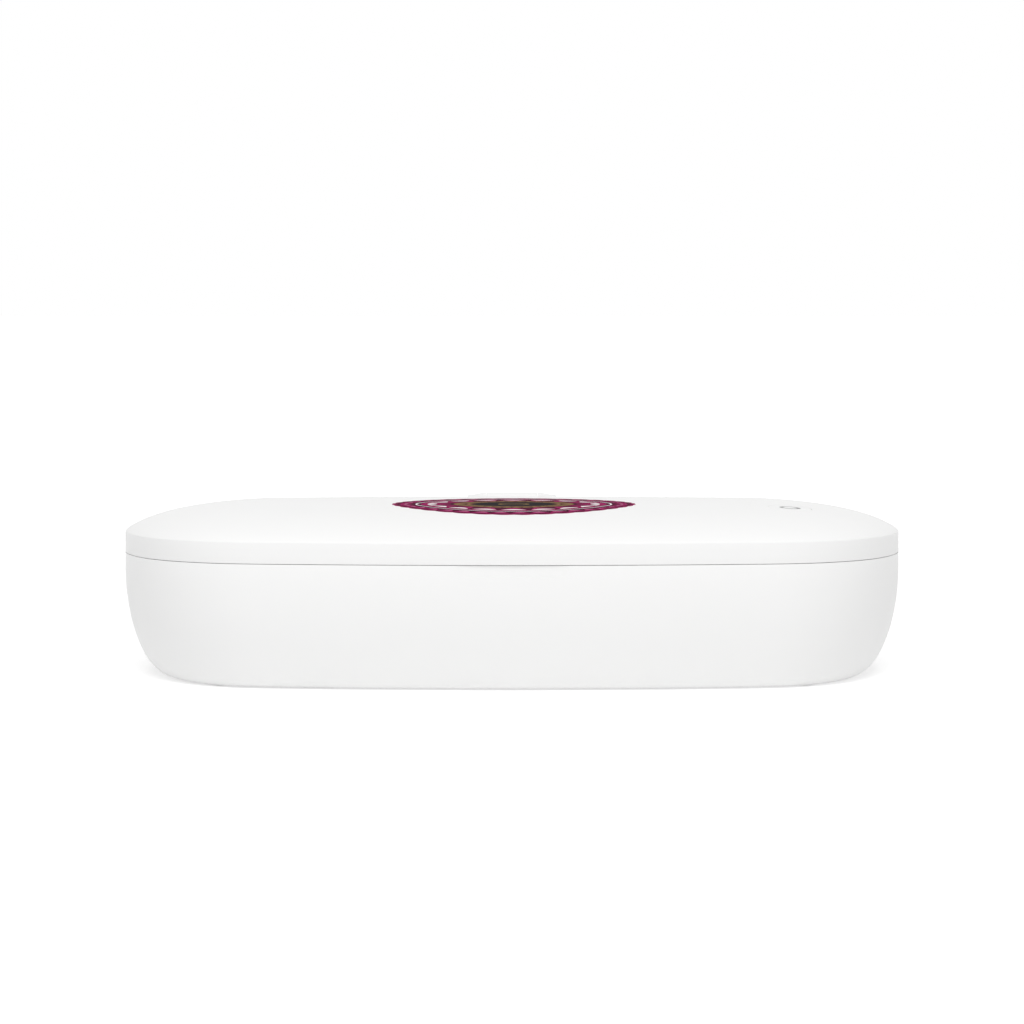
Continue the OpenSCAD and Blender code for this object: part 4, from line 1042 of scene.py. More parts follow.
@dataclass(frozen=True)
class Tub:
    """White lower half of the case, with the hinge arm, the scoop and the inlet's slot."""

    rim_rise: float = 0.16
    rim_edge: float = 0.08
    arm_half: float = 7.62
    arm_edge: float = 0.2
    pin_bore: float = 1.85
    channel_z: float = 30.5
    scoop_half: float = 16.9
    scoop_foot_half: float = 12.8
    scoop_height: float = 3.0
    scoop_depth: float = 0.42
    backing_half: float = 17.4
    backing_z: float = 28.1
    inlet_z: float = 7.77
    inlet_width: float = 8.94
    inlet_height: float = 3.26
    inlet_gap: float = 0.25

    def shell(self) -> Solid:
        """Walls and floor, with rounded rims."""
        outer, inner = CASE.outer_side(26), CASE.inner_side(16)
        top = CASE.rim_z + self.rim_rise
        rim = rounded([
            (0.0, CASE.side_top_z), (0.0, top, self.rim_edge), (CASE.rim_wall, top, self.rim_edge),
            (CASE.rim_wall, CASE.ledge_z, 0.1), (CASE.base_wall, CASE.ledge_z, 0.15),
            (CASE.base_wall, CASE.side_top_z)], 3)
        return Solid.ringed([(14.0, CASE.underside_z), *outer[::-1][:-1], *rim, *inner[1:],
                             (16.0, CASE.floor_z)]).shaped(CASE.stretched)

    def arm(self) -> Solid:
        """Eye of the hinge on a stem that grows out of the rear wall."""
        (y, z), r = CASE.hinge, CASE.knuckle_radius
        back, rim = CASE.outline.half_depth, CASE.rim_z
        turns = (math.pi * k / 28 for k in range(29))
        eye = [(y + r * math.cos(turn), z + r * math.sin(turn)) for turn in turns]
        stem = rounded([
            (y - r, z), (y - r, rim - 3.5, 1.5), (back - 2.2, rim - 7, 0.5),
            (back - 1.2, rim - 10, 0.4), (back - 0.6, rim - 10, 0.2), (y + r, rim - 1.0, 6.0),
            (y + r, z)], 5)
        return Solid.drawn(eye + stem[1:-1], -self.arm_half, self.arm_half, Axis.X).bevelled(
            self.arm_edge, 60, 3)

    def scoop(self) -> Solid:
        """What the finger scoop takes out of the front wall, narrower at its foot."""
        front, top = CASE.front_y, CASE.rim_z
        low, foot = top - self.scoop_height, self.scoop_foot_half

        def drawn_in(point: Vector) -> Vector:
            """Draws in the ends at the foot."""
            if point.z > top:
                return point
            half = foot if point.y > front else foot - 0.2
            return Vector((math.copysign(half, point.x), point.y, low))

        return Solid.block((-self.scoop_half, front - 2, low - 1),
                           (self.scoop_half, front + self.scoop_depth, top + 2)).shaped(drawn_in)

    def slot(self, start: float, end: float) -> Solid:
        """Slot with round ends for the inlet, along Y."""
        radius = self.inlet_height / 2 + self.inlet_gap
        reach = (self.inlet_width - self.inlet_height) / 2
        turns = [math.pi * step / 16 - math.pi / 2 for step in range(17)]
        return Solid.drawn([(side * (reach + radius * math.cos(turn)),
                             self.inlet_z + side * radius * math.sin(turn))
                            for side in (1, -1) for turn in turns], start, end, Axis.Y)

    def build(self) -> None:
        """Makes the tub."""
        (y, z), front = CASE.hinge, CASE.front_y
        posts = Solid.turnings(CASE.feet, rounded([
            (0, 2.8), (5.2, 2.8), (4.2, 3.2, 0.6), (4.2, 8, 0.2), (0, 8)]))
        backing = Solid.block((-self.backing_half, front + 1.0, self.backing_z),
                              (self.backing_half, front + 3.6, CASE.rim_z))
        holes = Solid.turnings(CASE.feet, [
            (0, -1), (5.3, -1), (5.0, CASE.underside_z + 0.25), (5.0, 1.2), (2.9, 1.2), (2.9, 5),
            (1.7, 5), (1.7, 9), (0, 9)])
        upright = Solid.bar(CASE.channel_radius, self.channel_z, z, (0, y, 0),
                            steps=Solid.CHANNEL_STEPS)
        level = Solid.bar(CASE.channel_radius, -9, 0.9, (0, y, self.channel_z), Axis.Y,
                          steps=Solid.CHANNEL_STEPS)
        shell = self.shell().joined(Join.ADD, posts, backing)
        shell.joined(Join.CUT, self.slot(47.0, 62.0), self.scoop(), holes)
        shell.joined(Join.ADD, self.arm())
        shell.joined(Join.CUT, Solid.bar(self.pin_bore, -9, 9, (0, y, z), Axis.X),
                     upright.joined(Join.ADD, level))
        Piece("tub", Body.BASE, "case", Finishes.CASE, "base_shell").place(shell)


@dataclass(frozen=True)
class Lid:
    """White upper half of the case, with the hinge knuckles and the print."""

    ear_start: float = 7.72
    ear_length: float = 6.2
    ear_end_radius: float = 2.4
    ear_edge: float = 0.3
    pin_seat: float = 1.83
    cap_radius: float = 6.0
    cap_clearance: float = 0.12
    guide_radius: float = 8.4
    channel_x: float = 12.0
    channel_fall: float = 106.0
    dome_rings: int = 34
    film_rings: int = 26
    film_hole: float = 0.06
    film_lift: float = 0.035
    film_sink: float = -0.12

    def shell(self) -> Solid:
        """Band and dome, open below, with rounded rims."""
        first, count, wall = 0.7, self.dome_rings, CASE.lid_wall
        insets = [first + (CASE.dome_reach - first) * (i / count) ** 1.5 for i in range(count + 1)]
        under = [(d, CASE.dome_z(d) - wall) for d in reversed(insets) if d > wall + 0.4]
        rim = rounded([
            under[-1], (wall, CASE.dome_z(wall) - wall, 0.6),
            (wall, CASE.lid_ledge_z, 0.15), (CASE.rim_wall, CASE.lid_ledge_z, 0.1),
            (CASE.rim_wall, CASE.seam_z, 0.08), (0.0, CASE.seam_z, 0.08),
            (0.0, CASE.band_top_z + 0.05, 0.5), (first, CASE.dome_z(first))], 4)
        return Solid.ringed([*under[:-1], *rim, *((d, CASE.dome_z(d)) for d in insets[1:])])

    def ear(self, side: int) -> Solid:
        """One knuckle and the web that joins it to the lid."""
        (y, z), r = CASE.hinge, CASE.knuckle_radius
        length, end = self.ear_length, self.ear_end_radius
        line = rounded([(0, 0), (r, 0, 0.15), (r, 0.9, 0.6), (end, length - 1.2, 1.2),
                        (end * 0.7, length, 0.8), (0, length)], 4)
        back, wall = CASE.outline.half_depth, CASE.lid_wall
        web = Solid.drawn([
            (y - 0.4, z + r - 0.5), (back - 11.5, CASE.dome_z(11.5) - 0.1),
            (back - 11.5, CASE.dome_z(11.5) - 1.5), (back - 9, CASE.dome_z(7) - wall - 1.6),
            (back - 3, CASE.dome_z(1) - wall), (back - 1, CASE.band_top_z - 4),
            (back - 0.3, CASE.band_top_z - 3.4), (y + r * 0.72, z - r * 0.66)],
            self.ear_start, self.ear_start + length - 0.7, Axis.X).bevelled(self.ear_edge, 50, 3)
        whole = Solid.turned(line, (self.ear_start, y, z), Axis.X).joined(Join.ADD, web)
        if side < 0:
            bmesh.ops.scale(whole.bm, vec=(-1, 1, 1), verts=whole.bm.verts)
            bmesh.ops.reverse_faces(whole.bm, faces=whole.bm.faces)
        return whole

    def build(self) -> None:
        """Makes the lid and its print."""
        y, z = CASE.hinge
        start, top, panel = self.ear_start, CASE.button_top, CASE.panel_top_z
        at_button = (*CASE.button, 0)
        shell = self.shell().joined(Join.ADD, self.ear(1), self.ear(-1))
        posts = Solid.bars(CASE.feet, 3.2, panel, CASE.dome_at(*CASE.foot) - 1.0)
        shell.joined(Join.ADD, posts, Solid.bar(self.guide_radius, top - 3.25, top - 1.6, at_button))
        notch = Solid.block((-start, y - CASE.hinge_relief, CASE.seam_z - 1),
                            (start, y + 8, z + 4.3))
        hole = Solid.bar(self.cap_radius + self.cap_clearance, top - 5, top + 3, at_button)
        pilots = Solid.bars(CASE.feet, CASE.pilot_radius, panel - 1, panel + 2.6,
                            steps=Solid.PILOT_STEPS)
        about, steps = (self.channel_x, y, z), Solid.CHANNEL_STEPS
        channel = Solid.bar(CASE.channel_radius, 0.4, 12, about, steps=steps).rotated(
            self.channel_fall, Axis.X, about)
        seats = [Solid.bar(self.pin_seat, -16, 1 - start, (0, y, z), Axis.X),
                 Solid.bar(self.pin_seat, start - 1, 11.0, (0, y, z), Axis.X),
                 Solid.bar(CASE.channel_radius, start, 12.6, (0, y, z), Axis.X, steps=steps)]
        shell.joined(Join.CUT, notch, hole, pilots, *seats, channel)
        Piece("lid", Body.LID, "case", Finishes.CASE, "lid_shell").place(shell)
        Piece("lid_print", Body.LID, "case", Finishes.PRINT).place(self.print_film())

    def print_film(self) -> Solid:
        """Film of ink that follows the dome, with a scalloped edge."""
        ink, low, high, hole = Finishes.PRINT, self.film_sink, self.film_lift, self.film_hole
        count = self.film_rings
        rings = [(hole, low), (1.0, low), (1.0, high),
                 *((1 - (1 - hole) * k / count, high) for k in range(1, count + 1))]

        def laid(turn: float, share: float, lift: float) -> Vector:
            """Lays a corner of the film on the dome."""
            scallop = 1 - ink.scallop * (1 - abs(math.sin(turn * ink.leaves / 2)))
            reach = ink.radius * share * (scallop if share > 0.9 else 1.0)
            x = ink.centre[0] + reach * math.cos(turn)
            y = ink.centre[1] + reach * math.sin(turn) * ink.depth_share
            return Vector((x, y, CASE.dome_at(x, y) + lift))

        return Solid.lofted(rings, laid)


@dataclass(frozen=True)
class Tray:
    """Bright tray that forms the chamber, with the saddles of the rods."""

    rod_xs: tuple[float, ...] = (-72.0, -28.0, 28.0, 72.0)
    rod_radius: float = 2.0
    rod_z: float = 19.0
    rod_end_inset: float = 13.5
    rod_end_edge: float = 0.4
    groove_gap: float = 0.03
    saddle_half: float = 4.0
    saddle_length: float = 5.0
    saddle_spread: float = 1.12
    saddle_edge: float = 0.55
    board_y: float = 35.9
    board_halves: Pair = (28.0, 11.9)
    scoop_room_half: float = 17.7

    def rod_half(self, x: float) -> float:
        """Half the length of the rod at x."""
        return CASE.outline.side_y(x, self.rod_end_inset)

    def shell(self) -> Solid:
        """Pan with a flange."""
        mouth, flange, inset = CASE.mouth_inset, CASE.flange_z, CASE.flange_inset
        return Solid.ringed(rounded([
            (16.0, CASE.tray_under_z), (8.95, CASE.tray_under_z, 2.6), (7.2, CASE.ledge_z, 0.4),
            (inset, CASE.ledge_z, 0.12), (inset, flange, 0.25), (mouth, flange, 0.7),
            (mouth + CASE.tray_draft + 0.25, CASE.tray_floor_z, 3.4), (17.0, CASE.tray_floor_z)], 6))

    def saddle(self, x: float, side: float) -> Solid:
        """One block that carries a rod's end, wider at its foot."""
        end = self.rod_half(x)
        low, high = sorted((side * end, side * (end - self.saddle_length)))
        base, top = CASE.tray_floor_z - 0.2, self.rod_z
        solid = Solid.block((x - self.saddle_half, low, base), (x + self.saddle_half, high, top))
        solid.shaped(lambda p: Vector((x + (p.x - x) * (1.0 if p.z > top - 1 else self.saddle_spread),
                                       p.y, p.z)))
        return solid.bevelled(self.saddle_edge, 30, 3, lambda p: p.z > base + 1)

    def rod(self, x: float, _: float) -> Solid:
        """One clear rod."""
        half, radius, edge = self.rod_half(x), self.rod_radius, self.rod_end_edge
        line = rounded([(0, -half), (radius, -half, edge), (radius, half, edge), (0, half)], 3)
        return Solid.turned(line, (x, 0, self.rod_z), Axis.Y, 48)

    def build(self) -> None:
        """Makes the tray, its windows and the rods."""
        floor, under = CASE.tray_floor_z, CASE.tray_under_z
        r, lug, front = CASE.window_radius, CASE.lug_radius, CASE.front_y
        rods = [(x, 0.0) for x in self.rod_xs]
        board = [(x, self.board_y + y) for x, y in mirrored_places(*self.board_halves)]
        saddles = Solid.repeated(self.saddle, [(x, s) for x in self.rod_xs for s in (-1, 1)])
        frames = Solid.bars(CASE.lamps, r + CASE.window_frame, floor - 1.6, floor - 0.2)
        posts = Solid.bars(CASE.feet, 4.2, 8.1, under + 0.2).beside(
            Solid.bars(CASE.lamp_screws, lug, 10.0, under + 0.2),
            Solid.bars(board, lug, 11.0, under + 0.2))
        grooves = Solid.repeated(
            lambda x, y: Solid.bar(self.rod_radius + self.groove_gap, -self.rod_half(x),
                                   self.rod_half(x), (x, y, self.rod_z), Axis.Y), rods)
        pilots = Solid.bars(CASE.feet, 1.43, 7.0, under, steps=Solid.PILOT_STEPS).beside(
            Solid.bars(CASE.lamp_screws + board, CASE.pilot_radius, 8.0, floor - 0.6,
                       steps=Solid.PILOT_STEPS))
        scoop_room = Solid.block((-self.scoop_room_half, front - 1, 27.8),
                                 (self.scoop_room_half, front + 3.9, 36))
        shell = self.shell().joined(Join.ADD, saddles, frames, posts)
        shell.joined(Join.CUT, grooves, window_seats(floor, 1, 2.6), pilots,
                     hinge_notch(CASE.ledge_z - 5, CASE.flange_z + 1), scoop_room)
        Piece("tray", Body.BASE, "reflector", Finishes.REFLECTOR, "inner_tray").place(shell)
        panes = Solid.bars(CASE.lamps, r, floor - 1, floor, CASE.pane_edge)
        Piece("floor_windows", Body.BASE, "quartz", Finishes.QUARTZ, "tray_windows").place(panes)
        Piece("phone_rods", Body.BASE, "quartz", Finishes.QUARTZ, "rack_rods").place(
            Solid.repeated(self.rod, rods))


@dataclass(frozen=True)
class Liner:
    """Bright panel that closes the lid from below."""

    sink_radius: float = 2.05
    screw_bore: float = 1.3

    def build(self) -> None:
        """Makes the liner and its windows."""
        low, top, flange = CASE.panel_z, CASE.panel_top_z, CASE.liner_z
        r, mouth, inset = CASE.window_radius, CASE.mouth_inset, CASE.flange_inset
        sink, bore = self.sink_radius, self.screw_bore
        shell = Solid.ringed(rounded([
            (18.0, low), (mouth + 1.4, low, 1.6), (mouth, flange, 0.5), (inset, flange, 0.25),
            (inset, CASE.lid_ledge_z, 0.12), (mouth - 1.4, CASE.lid_ledge_z, 0.3),
            (mouth, top, 0.8), (18.0, top)], 5))
        frames = Solid.bars(CASE.lamps, r + CASE.window_frame, low + 0.2, low + 1.8)
        lugs = Solid.bars(CASE.lamp_screws, CASE.lug_radius, low + 0.2, low + 3.2)
        shell.joined(Join.ADD, frames, lugs)
        sinks = Solid.turnings(CASE.feet, [(0, low - 1), (sink, low - 1), (sink, low),
                                           (bore, low + 1), (bore, top + 1), (0, top + 1)])
        pilots = Solid.bars(CASE.lamp_screws, CASE.pilot_radius, low + 0.6, low + 4.2,
                            steps=Solid.PILOT_STEPS)
        shell.joined(Join.CUT, window_seats(low, -1, 3), sinks, pilots,
                     hinge_notch(flange - 1, top + 1))
        Piece("lid_panel", Body.LID, "reflector", Finishes.REFLECTOR, "lid_liner").place(shell)
        panes = Solid.bars(CASE.lamps, r, low, low + 1, CASE.pane_edge)
        Piece("panel_windows", Body.LID, "quartz", Finishes.QUARTZ, "lid_windows").place(panes)


@dataclass(frozen=True)
class PowerButton:
    """Push button in the lid, with its grey ring."""

    radius: float = 6.0
    flange_radius: float = 6.9
    flange_height: float = 0.8
    guide_drop: float = 3.25
    drape_drop: float = 2.6
    web_drop: float = 1.8
    stem_radius: float = 1.5
    ring_outer: float = 2.95
    ring_width: float = 1.0
    ring_depth: float = 1.2
    ring_gap: float = 0.02
    edge: float = 0.08
    steps: int = 72

    def draped(self, point: Vector) -> Vector:
        """Lets a point near the top follow the dome."""
        top = CASE.button_top
        if point.z < top - self.drape_drop:
            return point
        return point + Vector((0, 0, CASE.dome_at(point.x, point.y) - top))

    def build(self) -> None:
        """Makes the cap and the ring."""
        where, top = (*CASE.button, 0.0), CASE.button_top
        guide, web = top - self.guide_drop, top - self.web_drop
        under, wall, stem = guide - self.flange_height, self.radius - 1.2, self.stem_radius
        inner, outer, gap = self.ring_outer - self.ring_width, self.ring_outer, self.ring_gap
        bed = top - self.ring_depth
        cap = [
            (0, top), (inner - gap, top, 0.06), (inner - gap, bed - gap), (outer + gap, bed - gap),
            (outer + gap, top, 0.06), (4.4, top), (self.radius, top, self.edge),
            (self.radius, guide), (self.flange_radius, guide, 0.1), (self.flange_radius, under, 0.1),
            (wall, under), (wall, web, 0.3), (stem, web, 0.3), (stem, under), (0, under)]
        mark = [(inner, bed), (outer, bed), (outer, top, 0.05), (inner, top, 0.05),
                (inner, bed + 0.01)]
        for line, arc_steps, piece in (
                (cap, 3, Piece("button_cap", Body.BUTTON, "case", Finishes.CAP, "power_button")),
                (mark, 2, Piece("button_mark", Body.BUTTON, "grey_mark", Finishes.MARK,
                                "button_ring"))):
            piece.place(Solid.turned(rounded(line, arc_steps), where, steps=self.steps).shaped(
                self.draped))


@dataclass(frozen=True)
class FineParts:
    """Small pieces whose packed form is right and only needs softer edges."""

    rows: tuple[tuple[str, str, Body, str, Finish, float], ...] = (
        ("base_lamp_board", "floor_lamp_board", Body.BASE, "circuit_board", Finishes.BOARD, 0.08),
        ("main_board", "control_board", Body.BASE, "circuit_board", Finishes.BOARD, 0.08),
        ("usb_socket", "inlet_shell", Body.BASE, "steel", Finishes.STEEL, 0.07),
        ("usb_tongue", "inlet_tongue", Body.BASE, "black_plastic", Finishes.BLACK, 0.1),
        ("lid_sensor", "closing_sensor", Body.BASE, "black_plastic", Finishes.BLACK, 0.12),
        ("base_magnets", "tub_magnets", Body.BASE, "magnet", Finishes.NICKEL, 0.15),
        ("lid_bumpers", "rim_bumpers", Body.BASE, "soft_pad", Finishes.SILICONE, 0.2),
        ("lid_lamp_board", "panel_lamp_board", Body.LID, "circuit_board", Finishes.BOARD, 0.08),
        ("button_board", "switch_board", Body.LID, "circuit_board", Finishes.BOARD, 0.08),
        ("tact_switch", "press_switch", Body.LID, "black_plastic", Finishes.BLACK, 0.12),
        ("status_light", "switch_light", Body.LID, "light_lens", Finishes.LENS, 0.08),
        ("lid_magnets", "closing_magnets", Body.LID, "magnet", Finishes.NICKEL, 0.15),
        ("sensor_magnet", "sensing_magnet", Body.LID, "magnet", Finishes.NICKEL, 0.15),
        ("hinge_pin", "left_hinge_pin", Body.LID, "steel", Finishes.STEEL, 0.25),
        ("hinge_sleeve", "right_hinge_sleeve", Body.LID, "steel", Finishes.STEEL, 0.12),
        ("switch_plunger", "plunger", Body.BUTTON, "black_plastic", Finishes.BLACK, 0.1))

    def build(self) -> None:
        """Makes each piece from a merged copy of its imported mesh."""
        for node, name, body, slot, finish, width in self.rows:
            Piece(name, body, slot, finish, node).place(Solid.from_node(node).bevelled(width))


@dataclass(frozen=True)
class ScrewSet:
    """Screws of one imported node: cross recess, head, thread and tip."""

    node: str
    name: str
    body: Body
    pitch: float = 0.7
    recess: float = 0.55
    root: float = 0.84

    def screw(self, lump: Lump) -> tuple[Solid, Solid, Solid]:
        """One screw and the two bars of its recess."""
        levels = lump.levels
        up = lump.widest(levels[0]) > lump.widest(levels[-1])
        face, neck, tip = (levels[0], levels[-2], levels[-1]) if up \
            else (levels[-1], levels[1], levels[0])
        way = 1 if up else -1
        head, shank = max(lump.widest(level) for level in levels), lump.widest(tip)
        deep, length = abs(neck - face), abs(tip - face)
        if lump.widest(neck) < head - 0.2:
            line = [(0, 0), (head, 0, 0.05), (head, 0.15), (shank, deep)]
        else:
            line = [(0, 0), (head, 0, min(0.45 * deep, 0.5)), (head, deep, 0.04), (shank, deep)]
        line = rounded(line, 4)
        along, root = deep + 0.25, shank * self.root
        while along < length - 0.75:
            line += [(root, along), (shank, along + self.pitch * 0.35),
                     (shank, along + self.pitch * 0.5), (root, along + self.pitch * 0.85)]
            along += self.pitch
        line += [(shank * 0.8, length - 0.2), (shank * 0.5, length), (0, length)]
        solid = Solid.turned([(radius, face + way * step) for radius, step in line], lump.place,
                             steps=32)
        wide, reach, sink = 0.13 * head, self.recess * head, min(0.42 * head, length * 0.3)
        ends = (face - way * 0.5, face + way * sink)
        return (solid, *(Solid.slab(lump.place, halves, ends)
                         for halves in ((wide, reach), (reach, wide))))

    def build(self) -> None:
        """Makes the screws."""
        wholes = [Solid() for _ in range(3)]
        for lump in Lump.all_of(self.node):
            for whole, part in zip(wholes, self.screw(lump)):
                whole.beside(part)
        screws, *recesses = wholes
        screws.joined(Join.CUT, *recesses)
        Piece(self.name, self.body, "steel", Finishes.STEEL, self.node).place(screws)


@dataclass(frozen=True)
class LampRow:
    """Ultraviolet lamps of one board: ceramic cup, die and cover glass."""

    node: str
    name: str
    body: Body
    way: int
    cup_radius: float = 1.4
    cup_depth: float = 0.55
    glass_seat: float = 0.22
    mark_radius: float = 0.14
    mark_reach: float = 1.42
    die_half: float = 0.5

    def build(self) -> None:
        """Makes the row."""
        way, cup = self.way, self.cup_radius
        cups, hollows, marks, dies, glasses = (Solid() for _ in range(5))
        for lump in Lump.all_of(self.node):
            face = lump.high.z if way > 0 else lump.low.z
            floor, seat, over = (face - way * self.cup_depth, face - way * self.glass_seat,
                                 face + way * 0.3)
            x, y, _ = lump.place
            cups.beside(Solid.block(lump.low, lump.high, 0.1))
            hollows.beside(Solid.turned([
                (0, floor), (cup - 0.35, floor), (cup - 0.12, seat), (cup, seat), (cup, over),
                (0, over)], lump.place, steps=40))
            marks.beside(Solid.bar(
                self.mark_radius, *sorted((face - way * 0.08, face + way * 0.2)),
                (x + self.mark_reach, y + self.mark_reach, 0.0), steps=16))
            dies.beside(Solid.slab(lump.place, (self.die_half, self.die_half),
                                   (floor - way * 0.02, floor + way * 0.16), 0.03))
            glasses.beside(Solid.bar(
                cup - 0.02, *sorted((face - way * 0.2, face - way * 0.03)), lump.place,
                chamfer=0.03, steps=40))
        cups.joined(Join.CUT, hollows, marks)
        Piece(self.name, self.body, "lamp", Finishes.LAMP, self.node).place(cups)
        Piece(f"{self.name}_dies", self.body, "lamp", Finishes.DIE).place(dies)
        Piece(f"{self.name}_glasses", self.body, "quartz", Finishes.QUARTZ).place(glasses)


@dataclass(frozen=True)
class PlugSet:
    """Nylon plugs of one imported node, with their contact slots and latch ribs."""

    node: str
    name: str
    body: Body
    way: int
    slot_pitch: float = 1.25
    slot_half: float = 0.24
    latch_half: float = 1.6

    def build(self) -> None:
        """Makes the plugs."""
        whole, slots = Solid(), Solid()
        for lump in Lump.all_of(self.node):
            x, low, high = lump.middle.x, lump.low, lump.high
            face = high.z if self.way > 0 else low.z
            start, end = sorted((face - self.way * 0.45, face + self.way * 0.3))
            whole.beside(Solid.block(low, high, 0.14))
            for step in (-1, 0, 1):
                slots.beside(Solid.slab((x + step * self.slot_pitch, low.y + 1.3),
                                        (self.slot_half, 0.6), (start, end)))
            slots.beside(Solid.block((x - self.latch_half, high.y - 0.9, start + 0.2),
                                     (x + self.latch_half, high.y - 0.6, end)))
        whole.joined(Join.CUT, slots)
        Piece(self.name, self.body, "plug", Finishes.NYLON, self.node).place(whole)


@dataclass(frozen=True)
class ControlParts:
    """What the control board carries on its underside, apart from its plugs."""

    board_z: float = 9.4
    leg_pitch: float = 0.8
    leg_half: float = 0.14
    coil_corner: float = 1.1
    capacitor: Pair = (-3.0, 31.0)
    can_radius: float = 3.15
    can_z: float = 4.4
    seat_corner: float = 1.2
    passives: tuple[Pair, ...] = (
        (2.5, 25.5), (4.3, 25.5), (6.1, 25.5), (16.5, 30.5), (16.5, 32.5), (16.5, 34.5), (-9, 44.2),
        (-9, 46.0), (-12, 45.1), (9, 40.0), (9, 42.0), (9, 44.0), (-21, 33.5), (-21, 35.5), (22, 33.5),
        (22, 35.5), (-21, 45), (22, 42), (3.5, 45.8), (-8.5, 29.2))

    def legs(self, low: Vector, high: Vector) -> Solid:
        """Bent legs along both long sides of a chip."""
        solid, pitch = Solid(), self.leg_pitch
        wing = [(0.0, 0.58), (0.3, 0.58), (0.45, 0.16), (0.8, 0.16), (0.8, 0.01), (0.36, 0.01),
                (0.21, 0.44), (0.0, 0.44)]
        count = int((high.y - low.y - 0.6) / pitch) + 1
        start = (low.y + high.y - (count - 1) * pitch) / 2
        for y in (start + step * pitch for step in range(count)):
            for edge, way in ((high.x, 1), (low.x, -1)):
                line = [(edge + way * reach, self.board_z - drop) for reach, drop in wing]
                solid.beside(Solid.drawn(line, y - self.leg_half, y + self.leg_half, Axis.Y))
        return solid

    def chips(self) -> None:
        """Chips with a dot at the first leg."""
        chips, legs, dots = Solid(), Solid(), Solid()
        for lump in Lump.all_of("board_chips"):
            low, high = lump.low, lump.high
            chips.beside(Solid.block(low, high - Vector((0, 0, 0.08)), 0.12))
            legs.beside(self.legs(low, high))
            dots.beside(Solid.bar(0.35, low.z - 0.3, low.z + 0.07, (low.x + 0.9, low.y + 0.9, 0),
                                  steps=24))
        chips.joined(Join.CUT, dots)
        Piece("control_chips", Body.BASE, "black_plastic", Finishes.BLACK, "board_chips").place(chips)
        Piece("control_chip_legs", Body.BASE, "steel", Finishes.NICKEL).place(legs)

    def coil(self) -> None:
        """Square coil with cut corners, a round hollow and two tabs."""
        lump, = Lump.all_of("boost_coil")
        low, high, top = lump.low, lump.high, self.board_z
        coil = Solid.block(low, high - Vector((0, 0, 0.12)))
        coil.bevelled(self.coil_corner, 60, 4, lambda p: self._near_corner(p, lump)).bevelled(
            0.18, 60, 2)
        coil.joined(Join.CUT, Solid.turned(rounded([
            (0, low.z - 1), (2.7, low.z - 1), (2.5, low.z + 0.18, 0.15), (0, low.z + 0.18)]),
            lump.place))
        Piece("supply_coil", Body.BASE, "black_plastic", Finishes.BLACK, "boost_coil").place(coil)
        tabs = Solid.repeated(lambda x, y: Solid.slab((x, y), (0.7, 1.6), (top - 0.14, top)),
                              [(low.x + 0.6, lump.middle.y), (high.x - 0.6, lump.middle.y)])
        Piece("supply_coil_tabs", Body.BASE, "steel", Finishes.NICKEL).place(tabs)

    @staticmethod
    def _near_corner(point: Vector, lump: Lump) -> bool:
        """Whether a point lies on an upright corner of a lump's box."""
        half = (lump.high - lump.low) / 2
        off = point - lump.middle
        return abs(abs(off.x) - half.x) < 0.002 and abs(abs(off.y) - half.y) < 0.002

    def can(self) -> None:
        """Capacitor: scored can on a square seat."""
        (x, y), r, z, top = self.capacitor, self.can_radius, self.can_z, self.board_z
        can = Solid.turned(rounded([
            (0, z + 0.12), (r - 0.75, z + 0.12, 0.05), (r - 0.6, z, 0.05), (r, z, 0.3),
            (r, top - 1.5, 0.1), (r - 0.28, top - 1.25, 0.12), (r, top - 1.0, 0.1),
            (r, top - 0.62), (0, top - 0.62)], 4), (x, y, 0.0))
        can.joined(Join.CUT, *(Solid.slab((x, y), halves, (z - 1, z + 0.2))
                               for halves in ((1.7, 0.07), (0.07, 1.7))))
        Piece("supply_capacitor", Body.BASE, "aluminium", Finishes.CAN, "board_capacitor").place(can)
        half = r + 0.1
        seat = Solid.slab((x, y), (half, half), (top - 0.6, top))
        seat.bevelled(self.seat_corner, 60, 1, lambda p: abs(abs(p.x - x) - half) < 0.01
                      and abs(abs(p.y - y) - half) < 0.01)
        Piece("supply_capacitor_seat", Body.BASE, "black_plastic", Finishes.BLACK).place(seat)

    def build(self) -> None:
        """Makes the chips, coil, capacitor and small parts."""
        self.chips()
        self.coil()
        self.can()
        top = self.board_z
        bodies = Solid.repeated(lambda x, y: Solid.slab(
            (x, y), (0.55, 0.4), (top - 0.42, top - 0.03), 0.03, 1), self.passives)
        ends = Solid.repeated(lambda x, y: Solid.repeated(lambda end, _: Solid.slab(
            (end, y), (0.15, 0.42), (top - 0.45, top), 0.04, 1), [(x - 0.65, y), (x + 0.65, y)]),
            self.passives)
        Piece("control_chip_resistors", Body.BASE, "black_plastic", Finishes.BLACK).place(bodies)
        Piece("control_resistor_ends", Body.BASE, "steel", Finishes.NICKEL).place(ends)


